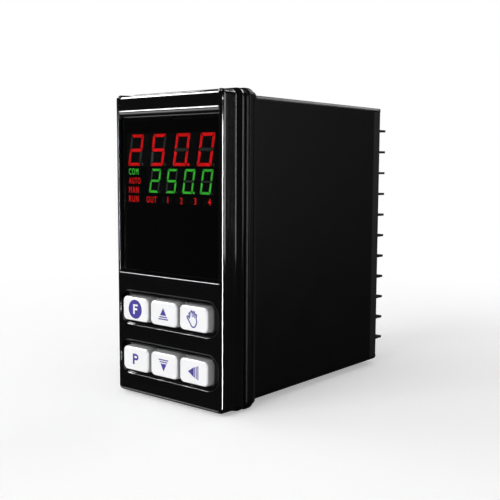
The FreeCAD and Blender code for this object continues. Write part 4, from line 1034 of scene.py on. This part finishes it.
def light_world(ambient, mirrored, glow):
    """A white surround where it is seen directly, and dimmer light from all round for everything else."""
    world = bpy.data.worlds.new("Studio")
    bpy.context.scene.world = world
    world.use_nodes = True
    world.node_tree.nodes.clear()
    n = Nodes(world.node_tree)
    path = n.add("ShaderNodeLightPath").outputs
    bounced = n.calc("MAXIMUM", path["Is Glossy Ray"], path["Is Transmission Ray"])
    way, start, full = TABLE_GLOW
    toward = n.add("ShaderNodeVectorMath", {0: n.add("ShaderNodeTexCoord").outputs["Generated"],
                                            1: Vector(way).normalized()}, operation="DOT_PRODUCT")
    table = n.ramp(toward.outputs["Value"], start, full, glow, "SMOOTHSTEP")
    dim = n.add("ShaderNodeMix", {0: bounced, 2: ambient, 3: n.calc("ADD", table, mirrored)}).outputs[0]
    shine = n.add("ShaderNodeBackground", {"Color": (1.0, 1.0, 1.0),
                                           "Strength": n.calc("MAXIMUM", path["Is Camera Ray"], dim)})
    n.add("ShaderNodeOutputWorld", {"Surface": shine.outputs[0]})


def floor_material(colour):
    """A pale floor that takes the object's shadow and turns to plain white away from it."""
    material, n, shader, where, out = new_material("Floor", {"Roughness": 0.9, "Specular IOR Level": 0.0})
    n.feed(shader, {"Base Color": n.blend(n.noise(where, 3.0), colour, [c * 0.985 for c in colour])})
    reach = n.add("ShaderNodeVectorMath", {0: where}, operation="LENGTH").outputs["Value"]
    lift, white = (n.add("ShaderNodeEmission", {"Strength": level}).outputs[0] for level in (FLOOR_LIFT, 1.0))
    lifted = n.add("ShaderNodeAddShader", {0: shader.outputs[0], 1: lift})
    both = n.add("ShaderNodeMixShader", {0: n.ramp(reach, *FLOOR_FADE, way="SMOOTHSTEP"),
                                         1: lifted.outputs[0], 2: white})
    n.feed(out, {"Surface": both.outputs[0]})
    return material


def area_lamp(name, place, wide, tall, brightness, lights):
    """A rectangular lamp aimed at the object, which lights surfaces or is only seen in their shine."""
    data = bpy.data.lights.new(name, "AREA")
    data.shape = "RECTANGLE"
    data.size, data.size_y, data.energy = wide, tall, brightness * 4 * wide * tall
    lamp = new_object(name, data)
    lamp.location = place
    lamp.rotation_euler = (-place).to_track_quat("-Z", "Y").to_euler()
    lamp.visible_camera = False
    lamp.visible_glossy = lamp.visible_transmission = lights == "shine"
    lamp.visible_diffuse = lights == "surfaces"


def place_floor(colour):
    """A wide floor under the object, which its polished faces don't mirror."""
    half, low = 3.0, CAD_BOX[0][2]
    mesh = bpy.data.meshes.new("floor")
    mesh.from_pydata([(x, z, low) for x, z in bar(-half, half, -half, half)], [], [(0, 1, 2, 3)])
    mesh.materials.append(floor_material(colour))
    floor = new_object("floor", mesh)
    floor.visible_glossy = floor.visible_transmission = False


def place_camera(settings):
    """The camera, at its place and turned by its azimuth, dip and roll."""
    data = bpy.data.cameras.new("camera")
    data.sensor_width, data.lens = 36.0, settings.lens
    data.clip_start, data.clip_end = 0.005, 50.0
    camera = new_object("camera", data)
    turn, dip = math.radians(settings.azimuth), math.radians(settings.dip)
    ahead = Vector((-math.sin(turn) * math.cos(dip), math.cos(turn) * math.cos(dip), -math.sin(dip)))
    roll = Matrix.Rotation(math.radians(settings.roll), 3, "Z").to_quaternion()
    camera.rotation_euler = (ahead.to_track_quat("-Z", "Y") @ roll).to_euler()
    camera.location = settings.place
    bpy.context.scene.camera = camera


class CONTROLLER_OT_stage(bpy.types.Operator):
    """Set the floor, the surround, the lamps and the camera."""

    bl_idname = "controller.stage"
    bl_label = "Stage"

    def execute(self, context):
        settings = context.scene.controller_stage
        context.scene.view_settings.view_transform = "Standard"
        light_world(settings.ambient, settings.mirrored, settings.glow)
        place_floor(settings.floor)
        for name, way, distance, wide, tall, brightness, lights in LAMPS:
            area_lamp(name, Vector(way).normalized() * distance, wide, tall, brightness, lights)
        place_camera(settings)
        return {"FINISHED"}


# ---- panel and registration ------------------------------------------------------------------------

OPERATORS = (CONTROLLER_OT_cover, CONTROLLER_OT_display, CONTROLLER_OT_keys, CONTROLLER_OT_case,
             CONTROLLER_OT_terminals, CONTROLLER_OT_boards, CONTROLLER_OT_stage)
SETTINGS = (("controller_finish", ControllerFinish), ("controller_cover", ControllerCover),
            ("controller_legends", ControllerLegends), ("controller_terminals", ControllerTerminals),
            ("controller_boards", ControllerBoards), ("controller_stage", ControllerStage))


class CONTROLLER_PT_panel(bpy.types.Panel):
    """Settings and steps of the controller, in the sidebar."""

    bl_idname = "CONTROLLER_PT_panel"
    bl_label = "Temperature Controller"
    bl_space_type = "VIEW_3D"
    bl_region_type = "UI"
    bl_category = "Controller"

    def draw(self, context):
        for attribute, group in SETTINGS:
            box = self.layout.box()
            box.label(text=group.__doc__)
            for name in group.__annotations__:
                box.prop(getattr(context.scene, attribute), name)
        for operator in OPERATORS:
            self.layout.operator(operator.bl_idname)


CLASSES = (*(group for _, group in SETTINGS), *OPERATORS, CONTROLLER_PT_panel)


def register():
    """Add the settings, the steps and the panel."""
    for kind in CLASSES:
        bpy.utils.register_class(kind)
    for attribute, group in SETTINGS:
        setattr(bpy.types.Scene, attribute, bpy.props.PointerProperty(type=group))


def unregister():
    """Take them away again."""
    for attribute, _ in SETTINGS:
        delattr(bpy.types.Scene, attribute)
    for kind in reversed(CLASSES):
        bpy.utils.unregister_class(kind)


def main():
    """Dress the whole controller."""
    register()
    bpy.ops.controller.cover()
    bpy.ops.controller.display()
    bpy.ops.controller.keys()
    bpy.ops.controller.case()
    bpy.ops.controller.terminals()
    bpy.ops.controller.boards()
    bpy.ops.controller.stage()


if __name__ == "__main__":
    main()
